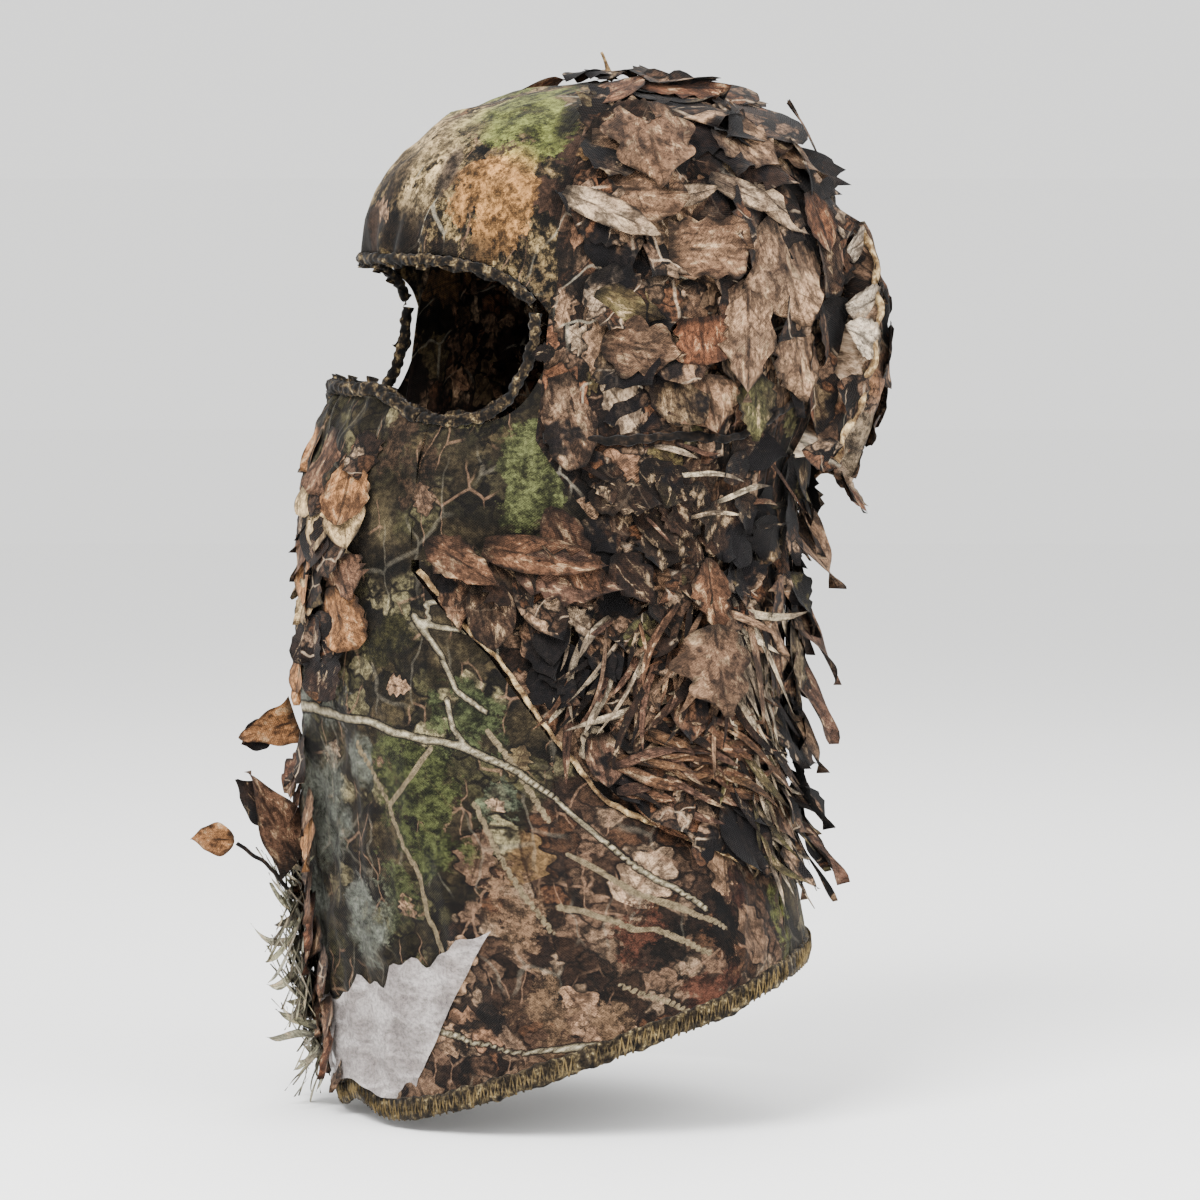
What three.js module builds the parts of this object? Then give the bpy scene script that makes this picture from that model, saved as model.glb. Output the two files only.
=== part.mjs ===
// Leafy camouflage hood with a pull-down face veil, as worn on a head.
// Millimetres, +Z up. The face looks along -Y and the wearer's left is +X.
// The origin is the inside of the crown, where the head carries the hood.
import * as THREE from 'three';

// ---- Driving dimensions ----
const CLOTH = 2.0; // a gathered panel, base cloth and lining together
const LEAF_CLOTH = 1.2; // one layer of leaf-cut cloth
const SEAM = 0.6; // gap between the edges of two panels
const ROLL = 2.4; // radius of a gathered elastic edge
const HEM_DEPTH = 9; // height of the overlocked hem
const HEM_CLOTH = 3.6; // thickness of the overlocked hem
const LEAF_STANDOFF = 2.8; // from the middle of a panel to the middle of the leaf cloth sewn on it

// The cap is a dome above the brow line. Heights on the dome are counted along the cloth.
const BROW_LINE = -76;
const DOME_RISE = 77;
const DOME_POWER = 2.2;
const DOME_ARC = 110;
const CROWN_TOP = BROW_LINE + DOME_ARC;
const CROWN_RING = CROWN_TOP - 6; // the panels stop at a small ring under the tuft

// Level sections below the brow line: half width, then reach to the front and to the back.
const SECTIONS = [
  { level: -76, half: 80, front: 107, back: 105 }, // widest line of the skull
  { level: -100, half: 81, front: 114, back: 104 }, // eyes
  { level: -129, half: 82, front: 121, back: 99 }, // nose
  { level: -165, half: 84, front: 133, back: 78 }, // mouth and nape
  { level: -195, half: 84, front: 135.5, back: 73 }, // jaw
  { level: -240, half: 86, front: 136, back: 72 }, // below the chin
  { level: -300, half: 95, front: 133.5, back: 66 }, // neck
  { level: -372, half: 111, front: 125, back: 80.6 }, // shoulders
  { level: -440, half: 118, front: 112, back: 82 }, // chest
];

// Seams, as angles round the head from the front.
const VEIL_EDGE = 34;
const BAND_EDGE = 31;
const CROWN_SEAM = 58.5;
const BACK_SEAM = 156;
const BIB_EDGE = 62;
const CAPE_SEAM = 120;
const HALF_EYE = 55;

// Levels of the seams that run round the hood.
const EAR_LEVEL = -148;
const JAW_LEVEL = -198;
const VEIL_FOOT = -240;
const CHIN_FOLD = -270;
const RUFFLE_TOP = -64;
const RUFFLE_FOOT = -160;
const RUFFLE_SEAM_LIFT = 7; // clear of the cap when the ruffle is lifted
const RUFFLE_PUFF = 12;

const rad = (degrees) => (degrees * Math.PI) / 180;
const lerp = (a, b, t) => a + (b - a) * t;
const clamp = (x) => Math.min(1, Math.max(0, x));
const ease = (x) => clamp(x) ** 2 * (3 - 2 * clamp(x));
const group = new THREE.Group();

// ---- The worn shape ----

function sectionAt(level) {
  const last = SECTIONS.length - 2;
  let i = 0;
  while (i < last && level < SECTIONS[i + 1].level) i += 1;
  const near = [i - 1, i, i + 1, i + 2].map((k) => SECTIONS[Math.min(last + 1, Math.max(0, k))]);
  const t = clamp((level - near[1].level) / (near[2].level - near[1].level));
  const span = near[2].level - near[1].level;
  const smooth = (key) => {
    const slope = (a, b) => (b[key] - a[key]) / (b.level - a.level || 1);
    const m0 = (i === 0 ? 0 : slope(near[0], near[2])) * span;
    const m1 = slope(near[1], near[3]) * span;
    const hermite = (2 * t ** 3 - 3 * t ** 2 + 1) * near[1][key] + (t ** 3 - 2 * t ** 2 + t) * m0;
    return hermite + (3 * t ** 2 - 2 * t ** 3) * near[2][key] + (t ** 3 - t ** 2) * m1;
  };
  return { half: smooth('half'), front: smooth('front'), back: smooth('back') };
}

// A point on the middle of the cloth.
function clothPoint(angle, level) {
  const climb = (clamp((level - BROW_LINE) / DOME_ARC) * Math.PI) / 2;
  const section = sectionAt(Math.min(level, BROW_LINE));
  const shrink = Math.cos(climb) ** (2 / DOME_POWER);
  const z = level > BROW_LINE ? BROW_LINE + DOME_RISE * Math.sin(climb) ** (2 / DOME_POWER) : level;
  const reach = Math.cos(rad(angle)) > 0 ? section.front : section.back;
  return new THREE.Vector3(
    section.half * shrink * Math.sin(rad(angle)),
    -reach * shrink * Math.cos(rad(angle)),
    z,
  );
}

// Directions at a point of the cloth: round the head, up the cloth, and out of it.
function clothFrame(angle, level) {
  const round = clothPoint(angle + 0.5, level).sub(clothPoint(angle - 0.5, level)).normalize();
  const rise = clothPoint(angle, level + 0.5).sub(clothPoint(angle, level - 0.5)).normalize();
  const out = new THREE.Vector3().crossVectors(round, rise).normalize();
  return { at: clothPoint(angle, level), round, up: new THREE.Vector3().crossVectors(out, round), out };
}

function liftedPoint(angle, level, lift) {
  const frame = clothFrame(angle, level);
  return frame.at.addScaledVector(frame.out, lift);
}

// ---- Seam lines ----

// Degrees left clear beside a seam. A degree is shorter up on the dome, so the gap takes more of them there.
const seamRoom = (level) => SEAM * (1 + 5 * clamp((level - BROW_LINE) / DOME_ARC) ** 4);
const crownSeam = (level) => CROWN_SEAM + 9.5 * clamp((level - BROW_LINE) / DOME_ARC);
const eyeTop = (angle) => BROW_LINE - 1 - 18 * (Math.abs(angle) / HALF_EYE) ** 6;
const noseBump = (angle) => 12 * (1 - ease((Math.abs(angle) - 14) / 22));
const eyeBottom = (angle) => -138 + noseBump(angle) + 26 * (Math.abs(angle) / HALF_EYE) ** 16;
const MM_PER_DEGREE = 1.55; // round the face, near the eye opening
const MOST_SLANT = 2.2; // the line stops following an edge steeper than this

// A line a given distance inside an edge, measured square to the edge.
function inset(edge, angle, distance) {
  const slope = (edge(angle + 0.5) - edge(angle - 0.5)) / MM_PER_DEGREE;
  return edge(angle) + distance * Math.min(MOST_SLANT, Math.hypot(1, slope));
}

const EDGE_ROOM = 2 * ROLL + 0.6; // from the edge of the opening to the panel behind its elastic
const capEdge = (angle) => EAR_LEVEL + 50 * clamp((angle - 100) / (BACK_SEAM - 100)) ** 1.5;
const cheekSeam = (level) => CROWN_SEAM + 18 * clamp((EAR_LEVEL - level) / (EAR_LEVEL - JAW_LEVEL));
const hemLevel = (angle) =>
  -370 - 69.5 * ((1 + Math.cos(rad(angle))) / 2) ** 1.87 + 8 * Math.exp(-((angle / 9) ** 2));

// The lower edge of the leafy cape falls steeply beside the chin and runs level round the back.
const CAPE_EDGE = [
  [36, -204],
  [52, -238],
  [62, -270],
  [70, -297],
  [87, -317],
  [113, -331],
  [147, -340],
  [180, -342],
];

function capeEdge(angle) {
  const a = Math.min(Math.abs(angle), 360 - Math.abs(angle));
  let i = 0;
  while (i < CAPE_EDGE.length - 2 && a > CAPE_EDGE[i + 1][0]) i += 1;
  const [from, to] = [CAPE_EDGE[i], CAPE_EDGE[i + 1]];
  return lerp(from[1], to[1], clamp((a - from[0]) / (to[0] - from[0])));
}

// The same line read the other way: how far round the veil reaches at a level.
function veilHalf(level) {
  if (level >= CAPE_EDGE[0][1]) return VEIL_EDGE;
  let i = 0;
  while (i < CAPE_EDGE.length - 2 && level < CAPE_EDGE[i + 1][1]) i += 1;
  const [from, to] = [CAPE_EDGE[i], CAPE_EDGE[i + 1]];
  return lerp(from[0], to[0], clamp((level - from[1]) / (to[1] - from[1]))) - 1.5;
}

// ---- Making solids ----

function addNode(name, positions, faces, look) {
  const geometry = new THREE.BufferGeometry();
  const numbers = positions.flatMap((p) => [p.x, p.y, p.z]);
  geometry.setAttribute('position', new THREE.Float32BufferAttribute(numbers, 3));
  geometry.setIndex(faces.flat());
  geometry.computeVertexNormals();
  addMesh(name, geometry, look);
}

function addMesh(name, geometry, look) {
  const mesh = new THREE.Mesh(geometry, new THREE.MeshStandardMaterial({ ...look, metalness: 0 }));
  mesh.name = name;
  group.add(mesh);
}

// A closed sheet. place(s, t) gives [angle, level, lift]; s runs round the head and t runs up the cloth.
function addSheet(name, look, { place, columns, rows, thickness = CLOTH, mirror = false }) {
  const points = [];
  for (const side of [0.5, -0.5]) {
    for (let r = 0; r <= rows; r += 1) {
      for (let c = 0; c <= columns; c += 1) {
        const s = mirror ? 1 - c / columns : c / columns;
        const [angle, level, lift = 0] = place(s, r / rows);
        points.push(liftedPoint(mirror ? -angle : angle, level, lift + side * thickness));
      }
    }
  }
  const wide = columns + 1;
  const inner = wide * (rows + 1);
  const faces = [];
  const quad = (a, b, c, d) => faces.push([a, b, c], [a, c, d]);
  for (let r = 0; r < rows; r += 1) {
    for (let c = 0; c < columns; c += 1) {
      const k = r * wide + c;
      quad(k, k + 1, k + wide + 1, k + wide);
      quad(inner + k, inner + k + wide, inner + k + wide + 1, inner + k + 1);
    }
  }
  for (let c = 0; c < columns; c += 1) {
    const top = rows * wide + c;
    quad(c, inner + c, inner + c + 1, c + 1);
    quad(top, top + 1, inner + top + 1, inner + top);
  }
  for (let r = 0; r < rows; r += 1) {
    const left = r * wide;
    const right = left + columns;
    quad(left, left + wide, inner + left + wide, inner + left);
    quad(right, inner + right, inner + right + wide, right + wide);
  }
  addNode(name, points, faces, look);
}

// Left and right copies of one sheet, drawn for the wearer's left.
function addPair(name, look, options) {
  addSheet(`${name}_left`, look, options);
  addSheet(`${name}_right`, look, { ...options, mirror: true });
}

// A round cord or roll through a list of centres, closed at both ends.
function addRoll(name, look, centres, radius, sides = 6) {
  const points = [];
  centres.forEach((centre, i) => {
    const before = centres[Math.max(0, i - 1)];
    const after = centres[Math.min(centres.length - 1, i + 1)];
    const along = after.clone().sub(before).normalize();
    const across = new THREE.Vector3(0.05, 0.1, 1).cross(along).normalize();
    const over = along.clone().cross(across);
    const r = typeof radius === 'function' ? radius(i / (centres.length - 1)) : radius;
    for (let k = 0; k < sides; k += 1) {
      const turn = (2 * Math.PI * k) / sides;
      points.push(
        centre.clone().addScaledVector(across, r * Math.cos(turn)).addScaledVector(over, r * Math.sin(turn)),
      );
    }
  });
  const faces = [];
  for (let i = 0; i < centres.length - 1; i += 1) {
    for (let k = 0; k < sides; k += 1) {
      const a = i * sides + k;
      const b = i * sides + ((k + 1) % sides);
      faces.push([a, b, b + sides], [a, b + sides, a + sides]);
    }
  }
  const first = points.length;
  points.push(centres[0].clone(), centres[centres.length - 1].clone());
  const last = (centres.length - 1) * sides;
  for (let k = 0; k < sides; k += 1) {
    faces.push([first, (k + 1) % sides, k], [first + 1, last + k, last + ((k + 1) % sides)]);
  }
  addNode(name, points, faces, look);
}

// A row of leaf tips: a strip sewn along its top edge, cut into points that stand away at the bottom.
// The even columns are the notches between two leaves. `cut` is how much shorter a notch is than a leaf.
function leafRow({ from, to, top, drop, leaves, standoff = LEAF_STANDOFF, flare, cut = 0.45 }) {
  const columns = 2 * leaves;
  return {
    columns,
    rows: 3,
    thickness: LEAF_CLOTH,
    place: (s, t) => {
      const angle = lerp(from, to, s);
      const notch = Math.round(s * columns) % 2 === 0;
      const down = 1 - t;
      const reach = drop * (notch ? 1 - cut * down ** 2 : 1);
      return [angle, top(angle) - reach * down, standoff + flare * down ** 1.5 * (notch ? 0.6 : 1)];
    },
  };
}

// One flat leaf: a pointed oval with shallow lobes, sewn at `stem`, with its tip pointing along `toward`.
function addLeaf(name, look, { stem, toward, out, length, width, lobes = 3, thickness = LEAF_CLOTH }) {
  const side = new THREE.Vector3().crossVectors(out, toward).normalize();
  const face = new THREE.Vector3().crossVectors(toward, side).normalize();
  const steps = 2 * lobes + 2;
  const swell = (t) => 0.18 + 0.82 * Math.sin(Math.PI * t ** 0.8);
  const lobe = (t) => 1 - 0.16 * Math.cos(2 * Math.PI * lobes * t);
  const half = (t) => (width / 2) * swell(t) * lobe(t);
  const outline = new THREE.Shape();
  outline.moveTo(0, -half(0));
  for (let i = 1; i < steps; i += 1) outline.lineTo((length * i) / steps, -half(i / steps));
  outline.lineTo(length, 0);
  for (let i = steps - 1; i >= 0; i -= 1) outline.lineTo((length * i) / steps, half(i / steps));
  const geometry = new THREE.ExtrudeGeometry(outline, { depth: thickness, bevelEnabled: false });
  geometry.translate(0, 0, -thickness / 2);
  geometry.applyMatrix4(new THREE.Matrix4().makeBasis(toward.clone().normalize(), side, face));
  geometry.translate(stem.x, stem.y, stem.z);
  addMesh(name, geometry, look);
}

// ---- Colours ----

const LOOK = {
  brow: { color: '#6f6a3c', roughness: 0.9 },
  crown: { color: '#4a3a2c', roughness: 0.92 },
  crownLeaf: { color: '#9a7558', roughness: 0.88 },
  mesh: { color: '#4b4430', roughness: 0.85 },
  cape: { color: '#3c3126', roughness: 0.92 },
  capeLeaf: { color: '#85603f', roughness: 0.9 },
  skirt: { color: '#5d5138', roughness: 0.86 },
  edge: { color: '#2a241c', roughness: 0.95 },
  hem: { color: '#4c4a2a', roughness: 0.95 },
  frontLeaf: { color: '#8a5a34', roughness: 0.88 },
  grass: { color: '#8c8a62', roughness: 0.9 },
};

// ---- Cap ----

function addCap() {
  addSheet('brow_panel', LOOK.brow, {
    columns: 16,
    rows: 9,
    place: (s, t) => {
      const foot = inset(eyeTop, lerp(-CROWN_SEAM, CROWN_SEAM, s), EDGE_ROOM);
      const level = lerp(foot, CROWN_RING, t);
      const reach = crownSeam(level);
      return [lerp(-reach, reach, s), level];
    },
  });
  addPair('crown_panel', LOOK.crown, {
    columns: 12,
    rows: 11,
    place: (s, t) => {
      const foot = capEdge(lerp(CROWN_SEAM, BACK_SEAM, s)) + SEAM;
      const level = lerp(foot, CROWN_RING, t);
      const front = crownSeam(level) + seamRoom(level);
      return [lerp(front, BACK_SEAM, s), level];
    },
  });
  addSheet('crown_panel_back', LOOK.crown, {
    columns: 6,
    rows: 9,
    place: (s, t) => {
      const level = lerp(capEdge(BACK_SEAM) + SEAM, CROWN_RING, t);
      const edge = BACK_SEAM + seamRoom(level);
      return [lerp(edge, 360 - edge, s), level];
    },
  });
  addCapEdgeBindings();
  addTuft();
}

// The dark binding along the cap's curved lower seam, from the ear up to the back of the crown.
function addCapEdgeBindings() {
  const width = 5;
  const lift = CLOTH + 0.4;
  addPair('cap_edge_binding', LOOK.edge, {
    columns: 14,
    rows: 1,
    thickness: LEAF_CLOTH,
    place: (s, t) => {
      const angle = lerp(63, BACK_SEAM - 3, s);
      return [angle, capEdge(angle) + lerp(-width / 2, width / 2, t), lift];
    },
  });
}

// A knot of leaf cloth drawn through the ring where the cap's seams meet, ending in a thin stem.
function addTuft() {
  const profile = [
    [0, 0],
    [5.5, 0],
    [5.5, 3.2],
    [14, 3.2],
    [14.5, 4.2],
    [9, 6.4],
    [5, 7.2],
    [4.2, 8.6],
    [1.6, 9.4],
    [0.9, 11],
    [0.5, 12.4],
    [0, 12.8],
  ];
  const geometry = new THREE.LatheGeometry(profile.map(([x, y]) => new THREE.Vector2(x, y)), 14);
  geometry.rotateX(Math.PI / 2);
  addMesh('crown_tuft', geometry, LOOK.crownLeaf);
}

function addCapLeaves() {
  const upper = leafRow({ from: 74, to: 152, top: () => 4, drop: 40, leaves: 5, flare: 3 });
  const middle = leafRow({ from: 66, to: 153, top: () => -36, drop: 44, leaves: 6, flare: 4 });
  const lower = leafRow({ from: 61, to: 128, top: () => -84, drop: 46, leaves: 5, flare: 4.5 });
  addPair('crown_leaf_row_upper', LOOK.crownLeaf, upper);
  addPair('crown_leaf_row_middle', LOOK.crownLeaf, middle);
  addPair('crown_leaf_row_lower', LOOK.crownLeaf, lower);
}

// ---- Face ----

function addFace() {
  addSheet('face_veil', LOOK.mesh, {
    columns: 12,
    rows: 8,
    place: (s, t) => {
      const top = inset(eyeBottom, lerp(-VEIL_EDGE, VEIL_EDGE, s), -EDGE_ROOM);
      const level = lerp(VEIL_FOOT + SEAM, top, t);
      const reach = veilHalf(level) - SEAM;
      return [lerp(-reach, reach, s), level];
    },
  });
  addSheet('chin_fold', LOOK.mesh, {
    columns: 16,
    rows: 2,
    place: (s, t) => {
      const level = lerp(CHIN_FOLD + SEAM, VEIL_FOOT - SEAM, t);
      const reach = veilHalf(level) - SEAM;
      return [lerp(-reach, reach, s), level];
    },
  });
  addPair('cheek_panel', LOOK.mesh, {
    columns: 5,
    rows: 5,
    place: (s, t) => {
      const top = inset(eyeBottom, lerp(VEIL_EDGE, HALF_EYE - 0.5, s), -EDGE_ROOM);
      const level = lerp(JAW_LEVEL, top, t);
      return [lerp(VEIL_EDGE + SEAM, cheekSeam(level) - 2 * SEAM, s), level];
    },
  });
}

function addElastics() {
  const brow = [];
  for (let angle = -54; angle <= 54; angle += 6) brow.push(clothPoint(angle, inset(eyeTop, angle, ROLL)));
  addRoll('brow_elastic', LOOK.edge, brow, ROLL);
  const nose = [];
  for (let i = -6; i <= 6; i += 1) {
    const angle = (BAND_EDGE * i) / 6;
    nose.push(clothPoint(angle, inset(eyeBottom, angle, -ROLL)));
  }
  addRoll('nose_elastic', LOOK.edge, nose, ROLL);
  for (const [side, name] of [[1, 'left'], [-1, 'right']]) {
    const corner = [
      [55.6, -99],
      [55.6, -108],
      [54.6, -117],
    ].map(([angle, level]) => clothPoint(side * angle, level));
    for (const angle of [53, 50.5, 47, 42, 37, 32]) {
      corner.push(clothPoint(side * angle, inset(eyeBottom, angle, -ROLL)));
    }
    addRoll(`cheek_elastic_${name}`, LOOK.edge, corner, ROLL);
  }
}

// ---- Neck, cape and skirt ----

function addNeck() {
  addPair('neck_panel', LOOK.cape, {
    columns: 7,
    rows: 4,
    place: (s, t) => {
      const level = lerp(JAW_LEVEL, EAR_LEVEL, t);
      const angle = lerp(cheekSeam(level) + 2 * SEAM, CAPE_SEAM, s);
      return [angle, lerp(JAW_LEVEL, capEdge(angle) - SEAM, t)];
    },
  });
  addSheet('nape_panel', LOOK.cape, {
    columns: 14,
    rows: 6,
    place: (s, t) => {
      const angle = lerp(CAPE_SEAM + SEAM, 360 - CAPE_SEAM - SEAM, s);
      return [angle, lerp(JAW_LEVEL, capEdge(Math.min(angle, 360 - angle)) - SEAM, t)];
    },
  });
}

function addCape() {
  addPair('cape_panel', LOOK.cape, {
    columns: 12,
    rows: 7,
    place: (s, t) => {
      const angle = lerp(CAPE_EDGE[0][0] + 1, CAPE_SEAM, s);
      return [angle, lerp(capeEdge(angle) + SEAM, JAW_LEVEL - SEAM, t)];
    },
  });
  addSheet('cape_panel_back', LOOK.cape, {
    columns: 12,
    rows: 8,
    place: (s, t) => {
      const angle = lerp(CAPE_SEAM + SEAM, 360 - CAPE_SEAM - SEAM, s);
      return [angle, lerp(capeEdge(angle) + SEAM, JAW_LEVEL - SEAM, t)];
    },
  });
}

function addSkirt() {
  const hemTop = (angle) => hemLevel(angle) + HEM_DEPTH;
  const skirt = (from, to, columns, topOf) => ({
    columns,
    rows: 6,
    place: (s, t) => {
      const angle = lerp(from, to, s);
      return [angle, lerp(hemTop(angle) + SEAM, topOf(angle), t)];
    },
  });
  const hem = (from, to, columns) => ({
    columns,
    rows: 1,
    thickness: HEM_CLOTH,
    place: (s, t) => {
      const angle = lerp(from, to, s);
      return [angle, lerp(hemLevel(angle), hemTop(angle), t)];
    },
  });
  const under = (angle) => capeEdge(angle) - SEAM;
  const back = [CAPE_SEAM + SEAM, 360 - CAPE_SEAM - SEAM];
  const side = [BIB_EDGE + SEAM / 2, CAPE_SEAM];
  const front = [-BIB_EDGE + SEAM / 2, BIB_EDGE - SEAM / 2];
  addSheet('bib_panel', LOOK.mesh, skirt(...front, 16, () => CHIN_FOLD - SEAM));
  addPair('skirt_panel', LOOK.skirt, skirt(...side, 8, under));
  addSheet('skirt_panel_back', LOOK.skirt, skirt(...back, 14, under));
  addSheet('hem_binding_front', LOOK.hem, hem(...front, 18));
  addSheet('hem_binding_round', LOOK.hem, hem(BIB_EDGE + SEAM / 2, 360 - BIB_EDGE - SEAM / 2, 30));
}

function addCapeLeaves() {
  const aboveEdge = (rise) => (angle) => capeEdge(angle) + rise;
  const pair = (name, options) => addPair(name, LOOK.capeLeaf, leafRow(options));
  pair('jaw_leaf_row', { from: 40, to: 118, top: () => JAW_LEVEL, drop: 24, leaves: 6, flare: 7, cut: 0.6 });
  pair('neck_leaf_row', { from: 80, to: 118, top: () => -156, drop: 34, leaves: 4, flare: 7 });
  pair('cape_leaf_row_upper', { from: 66, to: 118, top: () => -232, drop: 30, leaves: 5, flare: 9 });
  pair('cape_leaf_row_lower', { from: 74, to: 118, top: aboveEdge(36), drop: 34, leaves: 5, flare: 7 });
  const across = (name, top, drop, flare) =>
    addSheet(name, LOOK.capeLeaf, leafRow({ from: 122, to: 238, top: () => top, drop, leaves: 9, flare }));
  across('nape_leaf_row', -168, 36, 18);
  across('cape_back_row_upper', -214, 40, 30);
  across('cape_back_row_middle', -258, 34, 22);
  across('cape_back_row_lower', -300, 38, 18);
}

// ---- Front leaf strip ----

function addFrontStrip() {
  const strip = (from, to, foot, top, teeth) => ({
    columns: 4,
    rows: 2 * teeth,
    thickness: LEAF_CLOTH,
    place: (s, t) => {
      const point = Math.round(t * 2 * teeth) % 2;
      const angle = s < 0.25 ? from - 4 * point : lerp(from, to, s);
      return [angle, lerp(foot, top, t), LEAF_STANDOFF + (1 - s) ** 2 * (1.5 + 3 * point)];
    },
  });
  addSheet('front_strip_upper', LOOK.frontLeaf, strip(-16, 12, VEIL_FOOT + 4, -146, 5));
  addSheet('front_strip_lower', LOOK.frontLeaf, strip(-20, -5, -420, CHIN_FOLD - 3, 7));
}

// Loose leaves on the front strip. Each is given by where its stem is sewn and where its tip reaches.
function leafFromTo(name, look, stem, tip, width, lobes) {
  const toward = tip.clone().sub(stem);
  const length = toward.length();
  const out = new THREE.Vector3(1, 0.25, 0.15);
  addLeaf(name, look, { stem, toward: toward.normalize(), out, length, width, lobes });
}

function addFrontLeaves() {
  const at = (x, y, z) => new THREE.Vector3(x, y, z);
  leafFromTo('front_leaf_upper', LOOK.frontLeaf, at(-28, -139, -268), at(-32, -156, -277), 22, 2);
  leafFromTo('front_leaf_lower', LOOK.frontLeaf, at(-29, -136, -334), at(-31, -160, -293), 25, 3);
  leafFromTo('dangling_leaf', LOOK.frontLeaf, at(-31, -162, -320), at(-32, -181, -321), 13, 1);
  const stem = [at(-25, -160, -327), at(-25, -152, -331), at(-25, -145, -334), at(-25, -140, -340)];
  addRoll('front_stem', LOOK.edge, stem, 0.9, 5);
}

// Grass-like strips that stand off the lower front of the bib.
function addGrass() {
  const blades = 8;
  addSheet('front_grass', LOOK.grass, {
    columns: 2,
    rows: 2 * blades,
    thickness: LEAF_CLOTH,
    place: (s, t) => {
      const tip = Math.round(t * 2 * blades) % 2;
      return [lerp(-34, -27, s), lerp(-412, -340, t), lerp(12 + 18 * tip, 5, s)];
    },
  });
}

// ---- Loose pieces that lift ----

// The ruffle behind the head: sewn along its top edge, puffed out and wavy below.
function addBackRuffle() {
  const waves = 7;
  addSheet('back_ruffle', LOOK.capeLeaf, {
    columns: 2 * waves,
    rows: 6,
    place: (s, t) => {
      const front = lerp(131, BACK_SEAM, t);
      const wave = Math.round(s * 2 * waves) % 2;
      const foot = RUFFLE_FOOT + 8 * wave;
      const lift = RUFFLE_SEAM_LIFT + RUFFLE_PUFF * (1 - t ** 4) + 3 * wave * (1 - t);
      return [lerp(front, 360 - front, s), lerp(foot, RUFFLE_TOP, t), lift];
    },
  });
  const corner = clothFrame(146, RUFFLE_FOOT - 2);
  const lift = RUFFLE_SEAM_LIFT + RUFFLE_PUFF;
  leafOnCloth('ruffle_point', LOOK.capeLeaf, corner, { lift, tilt: 35, length: 20, width: 16, lobes: 1 });
}

// A leaf sewn by its stem so that it hangs down the cloth, tilted out by `tilt` degrees.
function leafOnCloth(name, look, frame, { lift, tilt, length, width, lobes, rising = false }) {
  const stem = frame.at.clone().addScaledVector(frame.out, lift);
  const along = rising ? frame.up.clone() : frame.up.clone().negate();
  const toward = along.multiplyScalar(Math.cos(rad(tilt))).addScaledVector(frame.out, Math.sin(rad(tilt)));
  addLeaf(name, look, { stem, toward, out: frame.out, length, width, lobes });
}

function addFlaps() {
  for (const [side, name] of [[1, 'left'], [-1, 'right']]) {
    const crown = clothFrame(side * 80, -14);
    const cape = clothFrame(side * 92, -226);
    const wide = { lift: 9, tilt: 3, length: 40, width: 32, lobes: 3 };
    const narrow = { lift: 15, tilt: 8, length: 40, width: 26, lobes: 3 };
    leafOnCloth(`crown_flap_${name}`, LOOK.crownLeaf, crown, wide);
    leafOnCloth(`cape_flap_${name}`, LOOK.capeLeaf, cape, narrow);
  }
  const standing = { lift: 4, tilt: 12, length: 28, width: 9, lobes: 1, rising: true };
  leafOnCloth('crown_leaf_tip', LOOK.edge, clothFrame(158, -42), standing);
}

addCap();
addCapLeaves();
addFace();
addElastics();
addNeck();
addCape();
addSkirt();
addCapeLeaves();
addFrontStrip();
addFrontLeaves();
addGrass();
addBackRuffle();
addFlaps();

export default group;
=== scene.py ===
"""A leafy camouflage hood with a mesh face veil, dressed over its CAD frame.

Places on the cloth are given as an angle round the head from the front, in degrees, and a level up the
cloth, in metres. The worn shape itself is measured off the frame's panels.
"""

import itertools
import math

import bpy
import numpy as np
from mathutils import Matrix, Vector
from mathutils.bvhtree import BVHTree


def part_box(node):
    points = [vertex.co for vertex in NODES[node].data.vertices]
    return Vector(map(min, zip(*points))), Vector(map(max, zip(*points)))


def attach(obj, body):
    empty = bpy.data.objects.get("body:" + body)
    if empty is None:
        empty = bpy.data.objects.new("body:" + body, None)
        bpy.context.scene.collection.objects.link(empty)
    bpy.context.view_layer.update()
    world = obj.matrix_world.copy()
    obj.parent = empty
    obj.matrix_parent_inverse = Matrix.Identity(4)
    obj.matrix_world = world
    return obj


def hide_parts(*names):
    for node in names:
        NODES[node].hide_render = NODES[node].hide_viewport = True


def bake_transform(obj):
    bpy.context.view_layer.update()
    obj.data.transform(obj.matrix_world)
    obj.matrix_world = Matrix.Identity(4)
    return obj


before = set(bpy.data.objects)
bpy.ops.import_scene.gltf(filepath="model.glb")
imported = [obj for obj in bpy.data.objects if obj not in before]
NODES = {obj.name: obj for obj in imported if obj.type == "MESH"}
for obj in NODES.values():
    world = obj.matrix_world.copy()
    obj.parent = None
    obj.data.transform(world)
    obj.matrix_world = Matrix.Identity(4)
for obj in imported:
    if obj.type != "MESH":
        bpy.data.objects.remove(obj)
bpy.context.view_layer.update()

# ---- Driving dimensions, read off the frame ----
CLOTH = 0.002  # thickness of a CAD panel
BROW_LINE = -0.076  # widest line of the skull, where the dome starts
DOME_ARC = 0.110  # cloth length from the brow line to the top of the crown
DOME_POWER = 2.2  # a little squarer than a round dome
DOME_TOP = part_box("crown_panel_left")[1].z - CLOTH / 2
CROWN_TOP = BROW_LINE + DOME_ARC
CROWN_RING = CROWN_TOP - 0.006
HEM_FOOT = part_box("hem_binding_front")[0].z
BACK_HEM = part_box("hem_binding_round")[1].z
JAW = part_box("cheek_panel_left")[0].z
VEIL_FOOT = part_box("face_veil")[0].z
EAR = -0.148  # level of the cap's edge beside the ear
ROLL = 0.0024  # half thickness of a gathered elastic edge
HEM_DEPTH = 0.009
HEM_INSIDE = HEM_DEPTH * 0.8  # how far up from the hem's foot the panels start
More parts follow.
